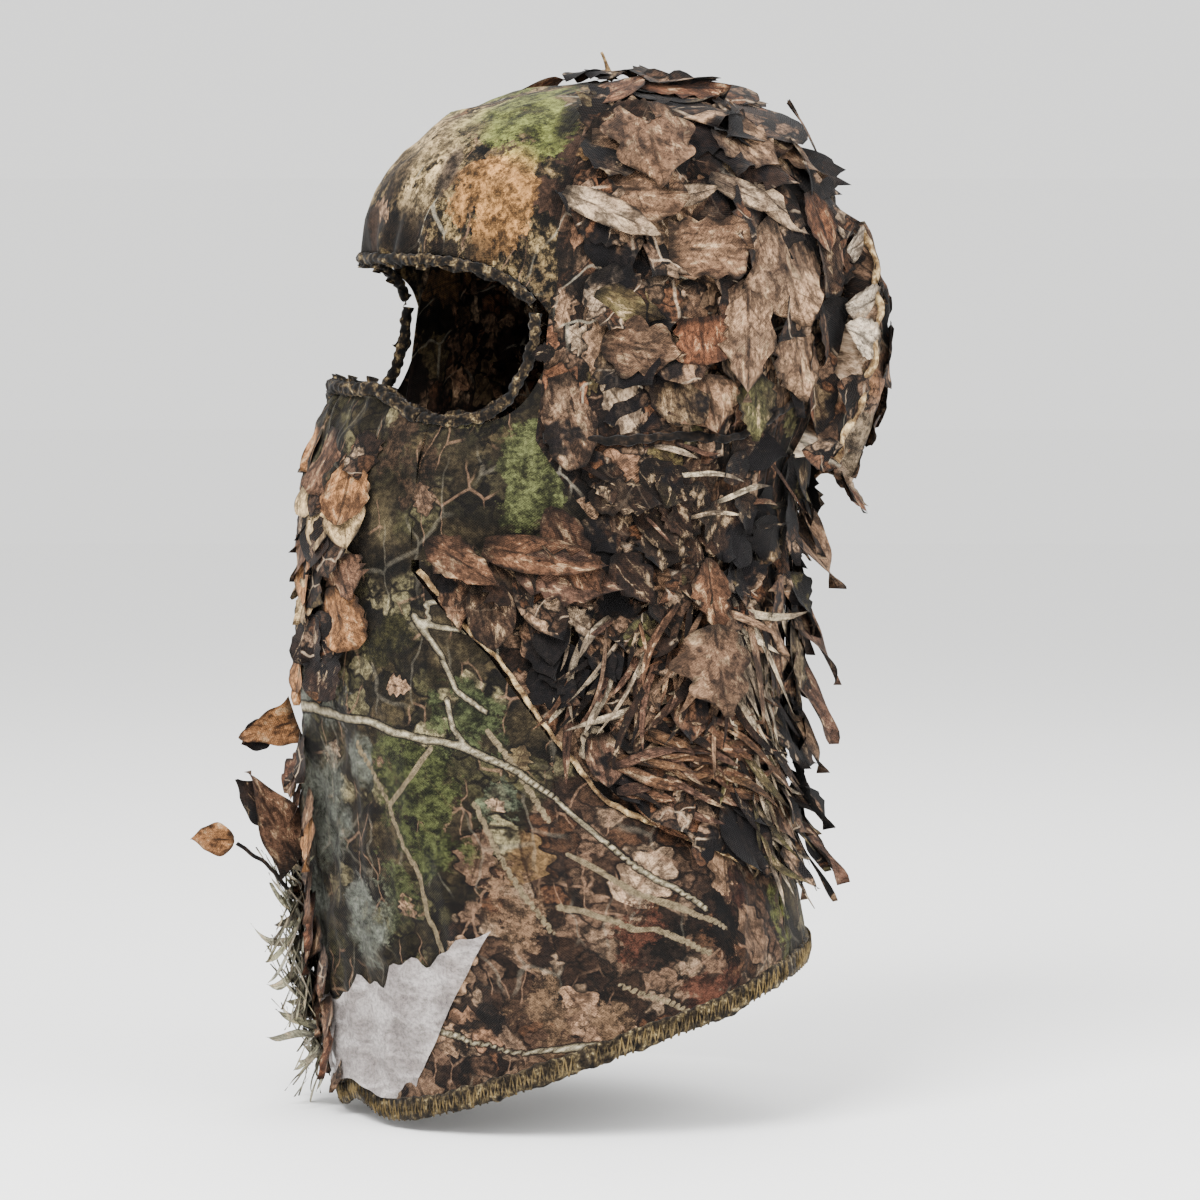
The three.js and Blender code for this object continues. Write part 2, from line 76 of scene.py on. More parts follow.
CROWN_SEAM = 58.5  # degrees round the head, as are the five below
BACK_SEAM = 156
VEIL_EDGE = 34
BIB_EDGE = 62
CAPE_SEAM = 120
HALF_EYE = 55
SIDES = ((1, "left"), (-1, "right"))
BEHIND = (CAPE_SEAM, 360 - CAPE_SEAM)  # the part of the cape and skirt behind the head
COARSE = 1

PANELS = [n for n in NODES if "panel" in n or n in ("face_veil", "chin_fold")]


def panel_tree():
    """All the CAD's cloth panels, ready for measuring."""
    points, faces = [], []
    for name in PANELS:
        mesh = NODES[name].data
        first = len(points)
        points += [v.co.copy() for v in mesh.vertices]
        faces += [[first + k for k in p.vertices] for p in mesh.polygons]
    return BVHTree.FromPolygons(points, faces)


LEVEL_STEP = 0.006
LEVELS = np.arange(HEM_FOOT + HEM_DEPTH + 0.004, BROW_LINE + 2 * LEVEL_STEP, LEVEL_STEP)


def reach(tree, direction):
    """How far the cloth stands from the head's axis in one direction, at each of LEVELS."""
    found = []
    for level in LEVELS:
        hit = tree.ray_cast(Vector((0, 0, level)), Vector(direction))[3]
        found.append(np.nan if hit is None else hit + CLOTH / 2)
    found = np.array(found)
    known = ~np.isnan(found)
    filled = np.interp(LEVELS, LEVELS[known], found[known])
    padded = np.pad(filled, 2, mode="edge")
    return np.convolve(padded, np.ones(5) / 5, mode="valid")  # smoothed over five levels


TREE = panel_tree()
HALF = reach(TREE, (1, 0, 0))
FRONT = reach(TREE, (0, -1, 0))
BACK = reach(TREE, (0, 1, 0))


def cloth_point(angle, level):
    """The worn cloth: an oval at each level, and a dome above the brow line."""
    climb = np.clip((level - BROW_LINE) / DOME_ARC, 0, 0.999) * math.pi / 2
    low = np.minimum(level, BROW_LINE)
    shrink = np.cos(climb) ** (2 / DOME_POWER)
    rise = np.sin(climb) ** (2 / DOME_POWER) * (DOME_TOP - BROW_LINE)
    turn = np.radians(angle)
    depth = np.where(np.cos(turn) > 0, np.interp(low, LEVELS, FRONT), np.interp(low, LEVELS, BACK))
    half = np.interp(low, LEVELS, HALF)
    return np.stack([half * shrink * np.sin(turn), -depth * shrink * np.cos(turn), low + rise], -1)


def unit(vectors):
    return vectors / np.maximum(np.linalg.norm(vectors, axis=-1, keepdims=True), 1e-9)


def cloth_steps(angle, level, turn=0.6, climb=0.002):
    """How a point of the cloth moves for one degree round the head and for one metre of level."""
    angle, level = np.broadcast_arrays(np.asarray(angle, float), np.asarray(level, float))
    side = (cloth_point(angle + turn, level) - cloth_point(angle - turn, level)) / (2 * turn)
    rise = (cloth_point(angle, level + climb) - cloth_point(angle, level - climb)) / (2 * climb)
    return side, rise


def cloth_frame(angle, level):
    """Position, direction round the head and direction out of the cloth."""
    side, rise = cloth_steps(angle, level)
    return cloth_point(angle, level), unit(side), unit(np.cross(side, rise))


def cloth(angle, level, lift=0.0):
    """A point of the cloth, lifted off it by some metres."""
    at, _, out = cloth_frame(angle, level)
    return at + out * np.asarray(lift, float)[..., None]


# ---- Seam lines: an angle at a level, or a level at an angle ----
CROWN_SEAM_TURN = 9.5  # degrees that the crown's seam turns back on its way up
CHEEK_SEAM_TURN = 18  # and the cheek's on its way down
EYE_CORNER_DROP = 0.018  # how much lower the eye opening's top edge is at its corners
EYE_CORNER_RISE = 0.026  # how much higher its bottom edge is there
EYE_FOOT = -0.138
NOSE_BUMP = 0.012  # how far the cloth stands up over the nose
CAP_EDGE_RISE = 0.050  # how much higher the cap's edge is at the back
CAP_EDGE_TURN = 100  # the angle where it starts to rise
HEM_NOTCH = 0.008  # how much the hem lifts in the middle of the front


def crown_seam(level):
    return CROWN_SEAM + CROWN_SEAM_TURN * np.clip((level - BROW_LINE) / DOME_ARC, 0, 1)


def eye_top(angle):
    return BROW_LINE - 0.001 - EYE_CORNER_DROP * (np.abs(angle) / HALF_EYE) ** 6


def ease(x):
    x = np.clip(x, 0, 1)
    return x * x * (3 - 2 * x)


def eye_bottom(angle):
    bump = NOSE_BUMP * (1 - ease((np.abs(angle) - 14) / 22))
    return EYE_FOOT + bump + EYE_CORNER_RISE * (np.abs(angle) / HALF_EYE) ** 16


def cap_edge(angle):
    back = np.clip((angle - CAP_EDGE_TURN) / (BACK_SEAM - CAP_EDGE_TURN), 0, 1)
    return EAR + CAP_EDGE_RISE * back**1.5


def cheek_seam(level):
    return CROWN_SEAM + CHEEK_SEAM_TURN * np.clip((EAR - level) / (EAR - JAW), 0, 1)


# The cape's edge, from the jaw round and down to the middle of the back.
CAPE_ANGLES = (36, 52, 62, 70, 87, 113, 147, 180)
CAPE_LEVELS = (-0.204, -0.238, -0.270, -0.297, -0.317, -0.331, -0.340, -0.342)


def cape_edge(angle):
    a = np.minimum(np.abs(angle), 360 - np.abs(angle))
    return np.interp(a, CAPE_ANGLES, CAPE_LEVELS)


def veil_half(level):
    """Half the veil's width in degrees: straight to the jaw, then out along the cape's edge."""
    down = -np.asarray(level, float)
    across = np.interp(down, [-v for v in CAPE_LEVELS], CAPE_ANGLES)
    return np.where(down < -CAPE_LEVELS[0], VEIL_EDGE, across - 1.0)


def hem_level(angle):
    """The hem's foot: lowest in front and highest at the back, on a smooth slope."""
    drop = (HEM_FOOT - BACK_HEM + HEM_DEPTH) * 1.006
    slope = ((1 + np.cos(np.radians(angle))) / 2) ** 1.87
    return BACK_HEM - HEM_DEPTH + drop * slope + HEM_NOTCH * np.exp(-((np.asarray(angle) / 9) ** 2))


# ---- Noise ----
def soft_noise(points, size, seed=0):
    """Smooth noise from -1 to 1 over points in space, with features about `size` metres across."""
    scaled = np.asarray(points, float) / size + 31.7 * seed
    cell = np.floor(scaled)
    part = scaled - cell
    part = part * part * (3 - 2 * part)
    total = 0.0
    for corner in itertools.product((0, 1), repeat=3):
        lattice = cell + corner
        mixed = lattice @ np.array([127.1, 311.7, 74.7])
        value = np.mod(np.sin(mixed) * 43758.5453, 1.0)
        weight = np.prod(np.where(np.array(corner), part, 1 - part), axis=-1)
        total = total + weight * value
    return 2 * total - 1


def creases(points, size, seed=0):
    """Noise folded into ridges, from 0 to 1, like the crests of slack cloth."""
    return (1 - np.abs(soft_noise(points, size, seed))) ** 2


# ---- Making objects ----
def build(name, points, faces, material, uv=None, colours=None):
    """A smooth mesh object, with print coordinates and painted attributes for each point."""
    mesh = bpy.data.meshes.new(name)
    mesh.from_pydata(np.asarray(points).reshape(-1, 3).tolist(), [], faces)
    mesh.polygons.foreach_set("use_smooth", np.ones(len(mesh.polygons), bool))
    corners = np.zeros(len(mesh.loops), np.int32)
    mesh.loops.foreach_get("vertex_index", corners)
    if uv is not None:
        layer = mesh.uv_layers.new(name="print")
        layer.data.foreach_set("uv", np.asarray(uv, np.float32).reshape(-1, 2)[corners].ravel())
    for key, values in (colours or {}).items():
        layer = mesh.attributes.new(key, "FLOAT_COLOR", "POINT")
        layer.data.foreach_set("color", np.asarray(values, np.float32).reshape(-1, 4).ravel())
    mesh.materials.append(material)
    obj = bpy.data.objects.new(name, mesh)
    bpy.context.scene.collection.objects.link(obj)
    return obj


def grid_faces(columns, rows, first=0):
    """The faces of a grid of points, counted from its first point."""
    wide = columns + 1
    faces = []
    for r in range(rows):
        for c in range(columns):
            k = first + r * wide + c
            faces.append((k, k + 1, k + wide + 1, k + wide))
    return faces


def cap_print(angle, level):
    """Flat print coordinates for the cap: distance along the cloth from the top of the crown."""
    away = CROWN_TOP - level + 0.002
    turn = np.radians(angle)
    return np.stack([away * np.sin(turn), -away * np.cos(turn)], -1)


WALL_RADIUS = 0.098  # of the cloth below the cap, on average


def wall_print(angle, level):
    """Flat print coordinates below the cap: round the head and up the cloth."""
    return np.stack([np.radians(angle) * WALL_RADIUS + 0.7, level + 0.3], -1)


def put(obj, body, slot, *nodes):
    """obj rides on a body and stands for CAD nodes, which it hides. slot is not used."""
    if body:
        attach(obj, body)
    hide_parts(*nodes)
    return obj


# ---- Colour ----
def rgb(code, alpha=1.0):
    """A linear colour from a web colour such as 9a7558."""
    parts = [int(code[k : k + 2], 16) / 255 for k in (0, 2, 4)]
    return [c / 12.92 if c < 0.04 else ((c + 0.055) / 1.055) ** 2.4 for c in parts] + [alpha]


SHADOW = "1f1915"
DARK_BROWN = "3b2c22"
BROWN = "6b4f3b"
TAN = "9c7f66"
PALE = "cdb9a0"
GREY_TWIG = "b3ac9b"
# Painted crease shade on the leaves, and also the colour of their printed veins.
VEIN_AND_CREASE_SHADE = "2a1f18"
CONTRAST = 1.4
SATURATION = 0.9
BRIGHTNESS = 1.05


class Wire:
    """The output of a node. Arithmetic on it adds Math nodes."""

    def __init__(self, shader, socket):
        self.shader = shader
        self.socket = socket

    def __add__(self, other):
        return self.shader.math("ADD", self, other)

    def __radd__(self, other):
        return self.shader.math("ADD", other, self)

    def __sub__(self, other):
        return self.shader.math("SUBTRACT", self, other)

    def __rsub__(self, other):
        return self.shader.math("SUBTRACT", other, self)

    def __mul__(self, other):
        return self.shader.math("MULTIPLY", self, other)

    def __truediv__(self, other):
        return self.shader.math("DIVIDE", self, other)

    def __pow__(self, other):
        return self.shader.math("POWER", self, other)

    def __abs__(self):
        return self.shader.math("ABSOLUTE", self)

    def __lt__(self, other):
        return self.shader.math("LESS_THAN", self, other)


class Shader:
    """A material's node tree, with a short call for each kind of node used here."""

    def __init__(self, name, roughness=0.92, sheen=0.03):
        self.material = bpy.data.materials.new(name)
        self.material.use_nodes = True
        self.tree = self.material.node_tree
        self.tree.nodes.clear()
        self.surface = self.tree.nodes.new("ShaderNodeBsdfPrincipled")
        self.set(self.surface, {"Roughness": roughness, "Sheen Weight": sheen, "Specular IOR Level": 0.12})
        output = self.tree.nodes.new("ShaderNodeOutputMaterial")
        self.tree.links.new(self.surface.outputs[0], output.inputs[0])

    def set(self, node, inputs):
        """Wires, colour codes and plain values, each put on the input with its name or number."""
        for key, value in inputs.items():
            if isinstance(value, Wire):
                self.tree.links.new(value.socket, node.inputs[key])
            else:
                node.inputs[key].default_value = rgb(value) if isinstance(value, str) else value

    def add(self, kind, inputs, output=0, **settings):
        """A new node with its inputs and settings, and one of its outputs."""
        node = self.tree.nodes.new("ShaderNode" + kind)
        for key, value in settings.items():
            setattr(node, key, value)
        self.set(node, inputs)
        return Wire(self, node.outputs[output])

    def math(self, operation, a, b=0.0, clamp=False):
        return self.add("Math", {0: a, 1: b}, operation=operation, use_clamp=clamp)

    def vector(self, operation, a, b):
        second = "Scale" if operation == "SCALE" else 1
        return self.add("VectorMath", {0: a, second: b}, operation=operation)

    def split(self, value):
        node = self.add("SeparateXYZ", {0: value}).socket.node
        return [Wire(self, socket) for socket in node.outputs]

    def step(self, value, low, high):
        """0 below low, 1 above high, and a smooth rise between."""
        return self.add("MapRange", {0: value, 1: low, 2: high}, interpolation_type="SMOOTHSTEP")

    def mix(self, factor, a, b, blend="MIX"):
        return self.add("Mix", {0: factor, 6: a, 7: b}, 2, data_type="RGBA", blend_type=blend)

    def noise(self, place, size, detail=2.0, rough=0.5, across="2D", output=0):
        inputs = {"Vector": place, "Scale": 1 / size, "Detail": detail, "Roughness": rough}
        return self.add("TexNoise", inputs, output, noise_dimensions=across)

    def cells(self, place, size, output="Color", feature="F1"):
        inputs = {"Vector": place, "Scale": 1 / size}
        return self.add("TexVoronoi", inputs, output, voronoi_dimensions="2D", feature=feature)

    def warped(self, place, size, amount):
        """The same place pushed about by noise."""
        drift = self.vector("SUBTRACT", self.noise(place, size, output="Color"), (0.5, 0.5, 0.5))
        return self.vector("ADD", place, self.vector("SCALE", drift, amount))

    def ramp(self, value, stops):
        ramped = self.add("ValToRGB", {0: value})
        ramp = ramped.socket.node.color_ramp
        while len(ramp.elements) < len(stops):
            ramp.elements.new(0.5)
        for element, (place, code) in zip(ramp.elements, stops):
            element.position = place
            element.color = rgb(code)
        return ramped

    def attribute(self, name):
        """A painted attribute's colour and its fourth channel."""
        colour = self.add("Attribute", {}, "Color", attribute_name=name)
        return colour, Wire(self, colour.socket.node.outputs["Alpha"])

    def paint(self, colour):
        """The surface colour, with its darks deepened and its colour kept as dull as before."""
        deep = self.add("Gamma", {"Color": colour, "Gamma": CONTRAST})
        dull = {"Color": deep, "Saturation": SATURATION, "Value": BRIGHTNESS}
        self.set(self.surface, {"Base Color": self.add("HueSaturation", dull)})

    def bump(self, height, strength, distance):
        inputs = {"Height": height, "Strength": strength, "Distance": distance}
        self.set(self.surface, {"Normal": self.add("Bump", inputs)})


# Colours along a ramp, each with its place from 0 to 1.
LEAF_STOPS = [
    (0.0, "bfa080"),
    (0.2, "a08062"),
    (0.30, "2b2320"),
    (0.40, "5d4737"),
    (0.52, "d0b99c"),
    (0.66, "97663f"),
    (0.78, "7b7750"),
    (0.9, "8d735b"),
]
LITTER_STOPS = [
    (0.0, "2a2019"),
    (0.2, "4a382b"),
    (0.4, "755c48"),
    (0.55, "9c8067"),
    (0.7, "c0a689"),
    (0.8, "5a4330"),
    (0.92, "86603f"),
]
FOLIAGE_STOPS = [
    (0.0, "211d14"),
    (0.2, "3a3526"),
    (0.4, "4e4a33"),
    (0.55, "6b6648"),
    (0.7, "aea37f"),
    (0.8, "453f2c"),
    (0.92, "665a40"),
]
BARK_STOPS = [(0.55, "544c3c"), (0.74, "8c836d"), (1.0, "bdb49d")]
RUFFLE_STOPS = [(0.0, "dcc8ae"), (0.3, "b99f82"), (0.5, "efe0ca"), (0.66, "a8805c"), (0.85, "5d4a3c")]
CAPE_STOPS = [
    (0.0, "8a6a56"),
    (0.18, "2e231c"),
    (0.28, "2e231c"),
    (0.4, "ab8d70"),
    (0.6, "8a6547"),
    (0.75, "6d6a44"),
    (0.88, "d6c6ab"),
]
FRONT_STOPS = [(0.0, "d09a58"), (0.25, "8f6e54"), (0.5, "e2c796"), (0.7, "8a6044"), (0.85, "2c292b")]
GRASS_STOPS = [(0.0, "a5a182"), (0.35, "cfcab0"), (0.6, "7c7860"), (0.85, "e2dfca")]
# Ground ramps of each panel's print. The cap's and the cape's run down to near-black: partly their own print,
# partly painted shade for the gaps under the leaves sewn over them.
GROUNDS = {
    "brow": [(0.38, "3a3024"), (0.47, "6d5d42"), (0.55, "93805a"), (0.66, "bda87c")],
    "cap": [(0.38, "171210"), (0.50, "2f241c"), (0.60, BROWN), (0.70, TAN)],
    "veil": [(0.36, "17140c"), (0.47, "2f281c"), (0.56, "473e2d"), (0.68, "6a5f46")],
    "cape": [(0.40, "120e0b"), (0.52, "261c15"), (0.60, "4a3829"), (0.72, "80654c")],
    "skirt": [(0.36, "1d1610"), (0.47, "3a2d24"), (0.57, "584435"), (0.68, "806a53")],
    "ruffle": [(0.34, "5a4838"), (0.42, "b59d83"), (0.54, "dccab2"), (0.66, "fbf2e2")],
}
LITTERED = ("cap", "cape", "ruffle")


def edge_cells(sh, place, size):
    """How far a place is from the nearest edge of its cell."""
    return sh.cells(place, size, "Distance", "DISTANCE_TO_EDGE")


def litter(sh, place, size, stops=LITTER_STOPS):
    """Leaf litter: crumpled patches, each of its own brown, with dark cracks between them."""
    bent = sh.warped(place, size * 0.8, size * 1.1)
    colour = sh.ramp(sh.split(sh.cells(bent, size))[0], stops)
    crumple = sh.noise(place, size / 3, 5, 0.7)
    colour = sh.mix(sh.step(crumple, 0.40, 0.62), colour, sh.mix(0.65, colour, SHADOW))
    crack = 1.0 - sh.step(edge_cells(sh, bent, size), 0.02, 0.13)
    return sh.mix(crack * 0.85, colour, SHADOW)


def leaf_veins(sh, along, across):
    """A printed midrib and side veins, 0 to 1, where across is 0 on the midrib and 1 at the leaf's edge."""
    midrib = 1.0 - sh.step(across, 0.03, 0.10)
    saw = abs(sh.math("FRACT", along * 7.0 - across * 1.6) - 0.5)
    side = (1.0 - sh.step(saw, 0.03, 0.10)) * 0.55
    return sh.math("MAXIMUM", midrib, side)


def printed_leaves(sh, place, ground, size, shift, share, lobes=3.0):
    """A layer of printed leaves over a ground colour: one in each cell, turned and tinted at random."""
    moved = sh.vector("ADD", place, shift)
    colour = sh.cells(moved, size)
    centre = Wire(sh, colour.socket.node.outputs["Position"])
    chance = sh.split(colour)
    local = sh.vector("SCALE", sh.vector("SUBTRACT", moved, centre), 1 / size)
    turned = sh.add("VectorRotate", {"Vector": local, "Angle": chance[0] * 6.283}, rotation_type="Z_AXIS")
    spot = sh.split(turned)
    along = sh.math("ADD", spot[0] * 1.05, 0.5, clamp=True)
    across = abs(spot[1])
    bulge = sh.math("SINE", along * math.pi) ** 0.7
    wave = sh.math("COSINE", along * (2 * math.pi * lobes))
    width = bulge * (0.27 + wave * 0.055)
    room = (width - across) + (sh.noise(place, size / 7, 3) - 0.5) * 0.12
    shown = chance[1] < share
    veins = leaf_veins(sh, along, across / sh.math("MAXIMUM", width, 0.01))
    mottle = sh.step(sh.noise(place, size / 5, 4, 0.7), 0.38, 0.62)
    tint = sh.ramp(chance[2], LEAF_STOPS)
    tint = sh.mix(mottle, tint, sh.mix(0.7, tint, DARK_BROWN))
    tint = sh.mix(veins * 0.55, tint, DARK_BROWN)
    shade = sh.step(room, -0.09, 0.02) * shown
    shaded = sh.mix(shade * 0.85, ground, SHADOW)
    return sh.mix(sh.step(room, 0.0, 0.025) * shown, shaded, tint)


def fine_twigs(sh, place, ground, size, amount, code):
    """Thin printed twigs and grass: the edges of stretched cells, shown in patches."""
    bend = sh.vector("MULTIPLY", (1.0, 0.4, 0.0), sh.noise(place, size * 1.7, 2))
    warped = sh.vector("ADD", place, sh.vector("SCALE", bend, size))
    edges = edge_cells(sh, sh.vector("MULTIPLY", warped, (1.0, 0.45, 1.0)), size)
    line = 1.0 - sh.step(edges, 0.012, 0.045)
    patch = sh.step(sh.noise(place, size * 2.3, 1), 0.48, 0.60)
    return sh.mix(line * patch * amount, ground, code)


def print_place(sh):
    return sh.add("UVMap", {}, uv_map="print")


def painted_branches(sh, place, colour):
    """The branches painted along lines: pale bark in the first channel and thin twigs in the second."""
    lines, _ = sh.attribute("lines")
    thick, thin, _ = sh.split(lines)
    rough = (sh.noise(place, 0.004, 3, 0.6) - 0.5) * 0.22
    thick = thick + rough * sh.step(thick, 0.05, 0.3)
    colour = sh.mix(sh.step(thin, 0.36, 0.52), colour, "8c7f66")
    colour = sh.mix(sh.step(thick, 0.22, 0.40) * 0.8, colour, SHADOW)
    streaks = sh.noise(sh.vector("MULTIPLY", place, (0.4, 1.6, 1.0)), 0.002, 3, 0.6)
    bark = sh.ramp(thick + streaks * 0.25, BARK_STOPS)
    return sh.mix(sh.step(thick, 0.42, 0.50), colour, bark)


def bare_mesh(sh, place):
    """How bare the mesh is, 0 to 1, with ragged edges."""
    bare = sh.attribute("lines")[1]
    ragged = bare + (sh.noise(place, 0.022, 8, 0.72) - 0.5) * 2.4
    return sh.step(ragged, 0.45, 0.95) * sh.step(bare, 0.02, 0.3)


def painted_zones(sh, place, colour):
    """Blobs of colour painted on the cloth, with ragged edges and a speckled fill."""
    zone, strength = sh.attribute("zone")
    wander = (sh.noise(place, 0.016, 7, 0.75) - 0.5) * 2.6
    ragged = strength + wander * sh.step(strength, 0.0, 0.3)
    speckle_stops = [(0.38, "2c2c2c"), (0.48, "a8a8a8"), (0.56, "ffffff")]
    speckle = sh.ramp(sh.noise(place, 0.0075, 7, 0.82), speckle_stops)
    flecked = sh.mix(0.85, zone, speckle, "MULTIPLY")
    return sh.mix(sh.step(ragged, 0.42, 0.60) * 0.9, colour, flecked)


def grained(sh, place, colour, size, detail, rough, amount, stops):
    """A fine grain of light and dark over a colour."""
    grain = sh.ramp(sh.noise(place, size, detail, rough), stops)
    return sh.mix(amount, colour, grain, "MULTIPLY")


def camo_ground(sh, place, ground, patch):
    """What is printed under the leaves: flecks on the brow, foliage and litter elsewhere."""
    tone = sh.noise(place, 0.026, 8, 0.72)
    colour = sh.ramp(tone, GROUNDS[ground])
    if ground in LITTERED:
        covered = sh.step(sh.noise(place, 0.05, 3), 0.40, 0.52)
        return sh.mix(covered, colour, litter(sh, place, patch))
    if ground == "brow":
        stops = [(0.42, "2c2c2c"), (0.50, "a0a0a0"), (0.57, "ffffff")]
        return grained(sh, place, colour, 0.0065, 6, 0.8, 0.9, stops)
    foliage = litter(sh, place, 0.011, FOLIAGE_STOPS)
    colour = sh.mix(sh.step(sh.noise(place, 0.03, 4), 0.38, 0.62), colour, foliage)
    ragged = (sh.noise(place, 0.02, 4, 0.6) - 0.5) * 0.9
    covered = sh.split(sh.attribute("lines")[0])[2] + ragged
    leafy = sh.mix(0.35, litter(sh, place, patch), sh.ramp(tone, GROUNDS["skirt"]))
    leafy = printed_leaves(sh, place, leafy, 0.034, (0.83, 0.41, 0), 0.5, 4)
    return sh.mix(sh.step(covered, 0.45, 0.60), colour, leafy)


def camo(sh, place, ground, leaf_size, leaf_share, dark, patch=0.009):
    """The printed camouflage: ground, litter, leaves, deep shadow, painted zones and branches."""
    mesh = ground == "veil"
    colour = camo_ground(sh, place, ground, patch)
    colour = fine_twigs(sh, place, colour, 0.010, 0.6, TAN)
    colour = printed_leaves(sh, place, colour, leaf_size * 0.6, (0.31, 0.17, 0), leaf_share, 5)
    colour = printed_leaves(sh, place, colour, leaf_size, (0.57, 0.23, 0), leaf_share * 0.8, 4)
    hollow = sh.step(sh.noise(place, 0.034, 5, 0.68), 0.64 - dark, 0.70 - dark)
    colour = sh.mix(hollow * 0.88, colour, SHADOW)
    colour = fine_twigs(sh, place, colour, 0.016, 0.2 if mesh else 0.6, GREY_TWIG)
    colour = painted_zones(sh, place, colour)
    if mesh:
        thin = sh.ramp(sh.noise(place, 0.012, 6, 0.7), [(0.36, "55584f"), (0.6, "8b8e84")])
        colour = sh.mix(bare_mesh(sh, place) * 0.72, colour, thin)
    colour = painted_branches(sh, place, colour)
    return grained(sh, place, colour, 0.0022, 4, 0.75, 0.75, [(0.28, "6c6c6c"), (0.66, "ffffff")])


def weave(sh, place, size=0.0011):
    """Height of a fine knit: crossed ribs, with a little unevenness."""
    x, y, _ = sh.split(place)
    ribs, rows = (sh.math("SINE", way * (2 * math.pi / size)) for way in (x, y))
    return ribs * rows + sh.noise(place, 0.004, 3)


def printed_cloth(name, ground, leaf_size, leaf_share, dark, net=None):
    """Printed knit. net is how much shows through where the print is thin."""
    sh = Shader(name)
    place = print_place(sh)
    sh.paint(camo(sh, place, ground, leaf_size, leaf_share, dark))
    sh.set(sh.surface, {"Roughness": 0.78 + sh.noise(place, 0.01, 3) * 0.2})
    sh.bump(weave(sh, place), 0.35, 0.0006)
    if net:
        sh.set(sh.surface, {"Alpha": 1.0 - bare_mesh(sh, place) * net})
    return sh.material


def sheer_cloth(name):
    """The single bare layer of mesh at the front corner: pale, with faint streaks, and see-through."""
    sh = Shader(name, roughness=0.8)
    place = print_place(sh)
    streaks = sh.noise(sh.warped(sh.vector("MULTIPLY", place, (1.0, 1.8, 1.0)), 0.02, 0.02), 0.014, 6, 0.65)
    colour = sh.ramp(streaks, [(0.35, "a29a97"), (0.5, "b2aba8"), (0.65, "c4bebb")])
    sh.paint(grained(sh, place, colour, 0.0018, 3, 0.8, 0.5, [(0.3, "8a8a8a"), (0.6, "ffffff")]))
    sh.set(sh.surface, {"Alpha": 0.62 + streaks * 0.3})
    sh.bump(weave(sh, place), 0.3, 0.0005)
    return sh.material


def leaf_cloth(name, stops, deep=0.7):
    """Leaf-cut cloth. "leaf" holds the tint, the places along and across, and how whole the leaf is."""
    sh = Shader(name)
    place = print_place(sh)
    leaf, whole = sh.attribute("leaf")
    tint, along, sideways = sh.split(leaf)
    across = abs(sideways * 2.0 - 1.0)
    colour = sh.ramp(tint, stops)
    drift = sh.step(sh.noise(place, 0.030, 3, 0.6), 0.42, 0.62)
    colour = sh.mix(drift, colour, sh.mix(0.5, colour, BROWN))
    plain = sh.step(whole, 0.88, 0.98)
    # Painted shade and painted highlight of small creases: stretched noise darkens the leaf in streaks and
    # paints it pale between them.
    bent = sh.warped(sh.vector("MULTIPLY", place, (1.0, 2.4, 1.0)), 0.010, 0.008)
    crease_light_and_shade = sh.noise(bent, 0.012, 6, 0.72)
    crease_shade = sh.step(crease_light_and_shade, 0.46, 0.60) * (0.85 - plain * 0.25)
    colour = sh.mix(crease_shade, colour, VEIN_AND_CREASE_SHADE)
    colour = sh.mix((1.0 - sh.step(crease_light_and_shade, 0.34, 0.45)) * 0.6, colour, "dcc29c")
    veins = leaf_veins(sh, along, across)
    broken = sh.step(sh.noise(place, 0.008, 3), 0.35, 0.6)
    colour = sh.mix(veins * broken * 0.7, colour, VEIN_AND_CREASE_SHADE)
    ground = litter(sh, place, 0.008)
    ground = printed_leaves(sh, place, ground, 0.026, (0.11, 0.37, 0), 0.9, 4)
    ground = fine_twigs(sh, place, ground, 0.010, 0.7, PALE)
    colour = sh.mix(whole, ground, colour)
    # Painted shade: dark patches laid out in the object's own space, so that they fall across neighbouring
    # leaves; deep sets how dark, less on plain leaves.
    where = sh.add("TexCoord", {}, "Object")
    hollow = sh.step(sh.noise(where, 0.034, 4, 0.6, "3D"), 0.51, 0.56)
    colour = sh.mix(hollow * (deep - plain * (0.6 * deep)), colour, "201d20")
    edge = sh.step(across, 0.70, 1.0) * broken * 0.8
    tip = sh.step(along, 0.9, 1.0) * 0.5
    root = (1.0 - sh.step(along, 0.0, 0.25)) * 0.8
    shade = sh.math("MAXIMUM", sh.math("MAXIMUM", edge, tip), root)
    colour = sh.mix(shade, colour, SHADOW)
    sh.paint(grained(sh, place, colour, 0.002, 4, 0.75, 0.75, [(0.28, "686868"), (0.66, "ffffff")]))
    sh.bump(veins * -0.8 + weave(sh, place), 0.4, 0.0006)
    return sh.material


def thread_cloth(name, stops, size=0.003):
    """Gathered edge, cord or stitching thread: flecked tones, with fine ribs."""
    sh = Shader(name, roughness=0.94, sheen=0.06)
    tone = sh.noise(sh.add("TexCoord", {}, "Object"), size, 5, 0.7, "3D")
    sh.paint(sh.ramp(tone, stops))
    sh.bump(tone, 0.6, 0.001)
    return sh.material


BROW_CLOTH = printed_cloth("brow_cloth", "brow", 0.040, 0.10, -0.06)
CAP_CLOTH = printed_cloth("cap_cloth", "cap", 0.036, 0.85, 0.08)
VEIL_CLOTH = printed_cloth("veil_mesh", "veil", 0.026, 0.10, 0.03, net=0.08)
CAPE_CLOTH = printed_cloth("cape_cloth", "cape", 0.03, 0.6, 0.14)
SKIRT_CLOTH = printed_cloth("skirt_mesh", "veil", 0.030, 0.06, 0.03)
RUFFLE_CLOTH = printed_cloth("ruffle_cloth", "ruffle", 0.03, 0.3, -0.02)
SHEER = sheer_cloth("sheer_mesh")
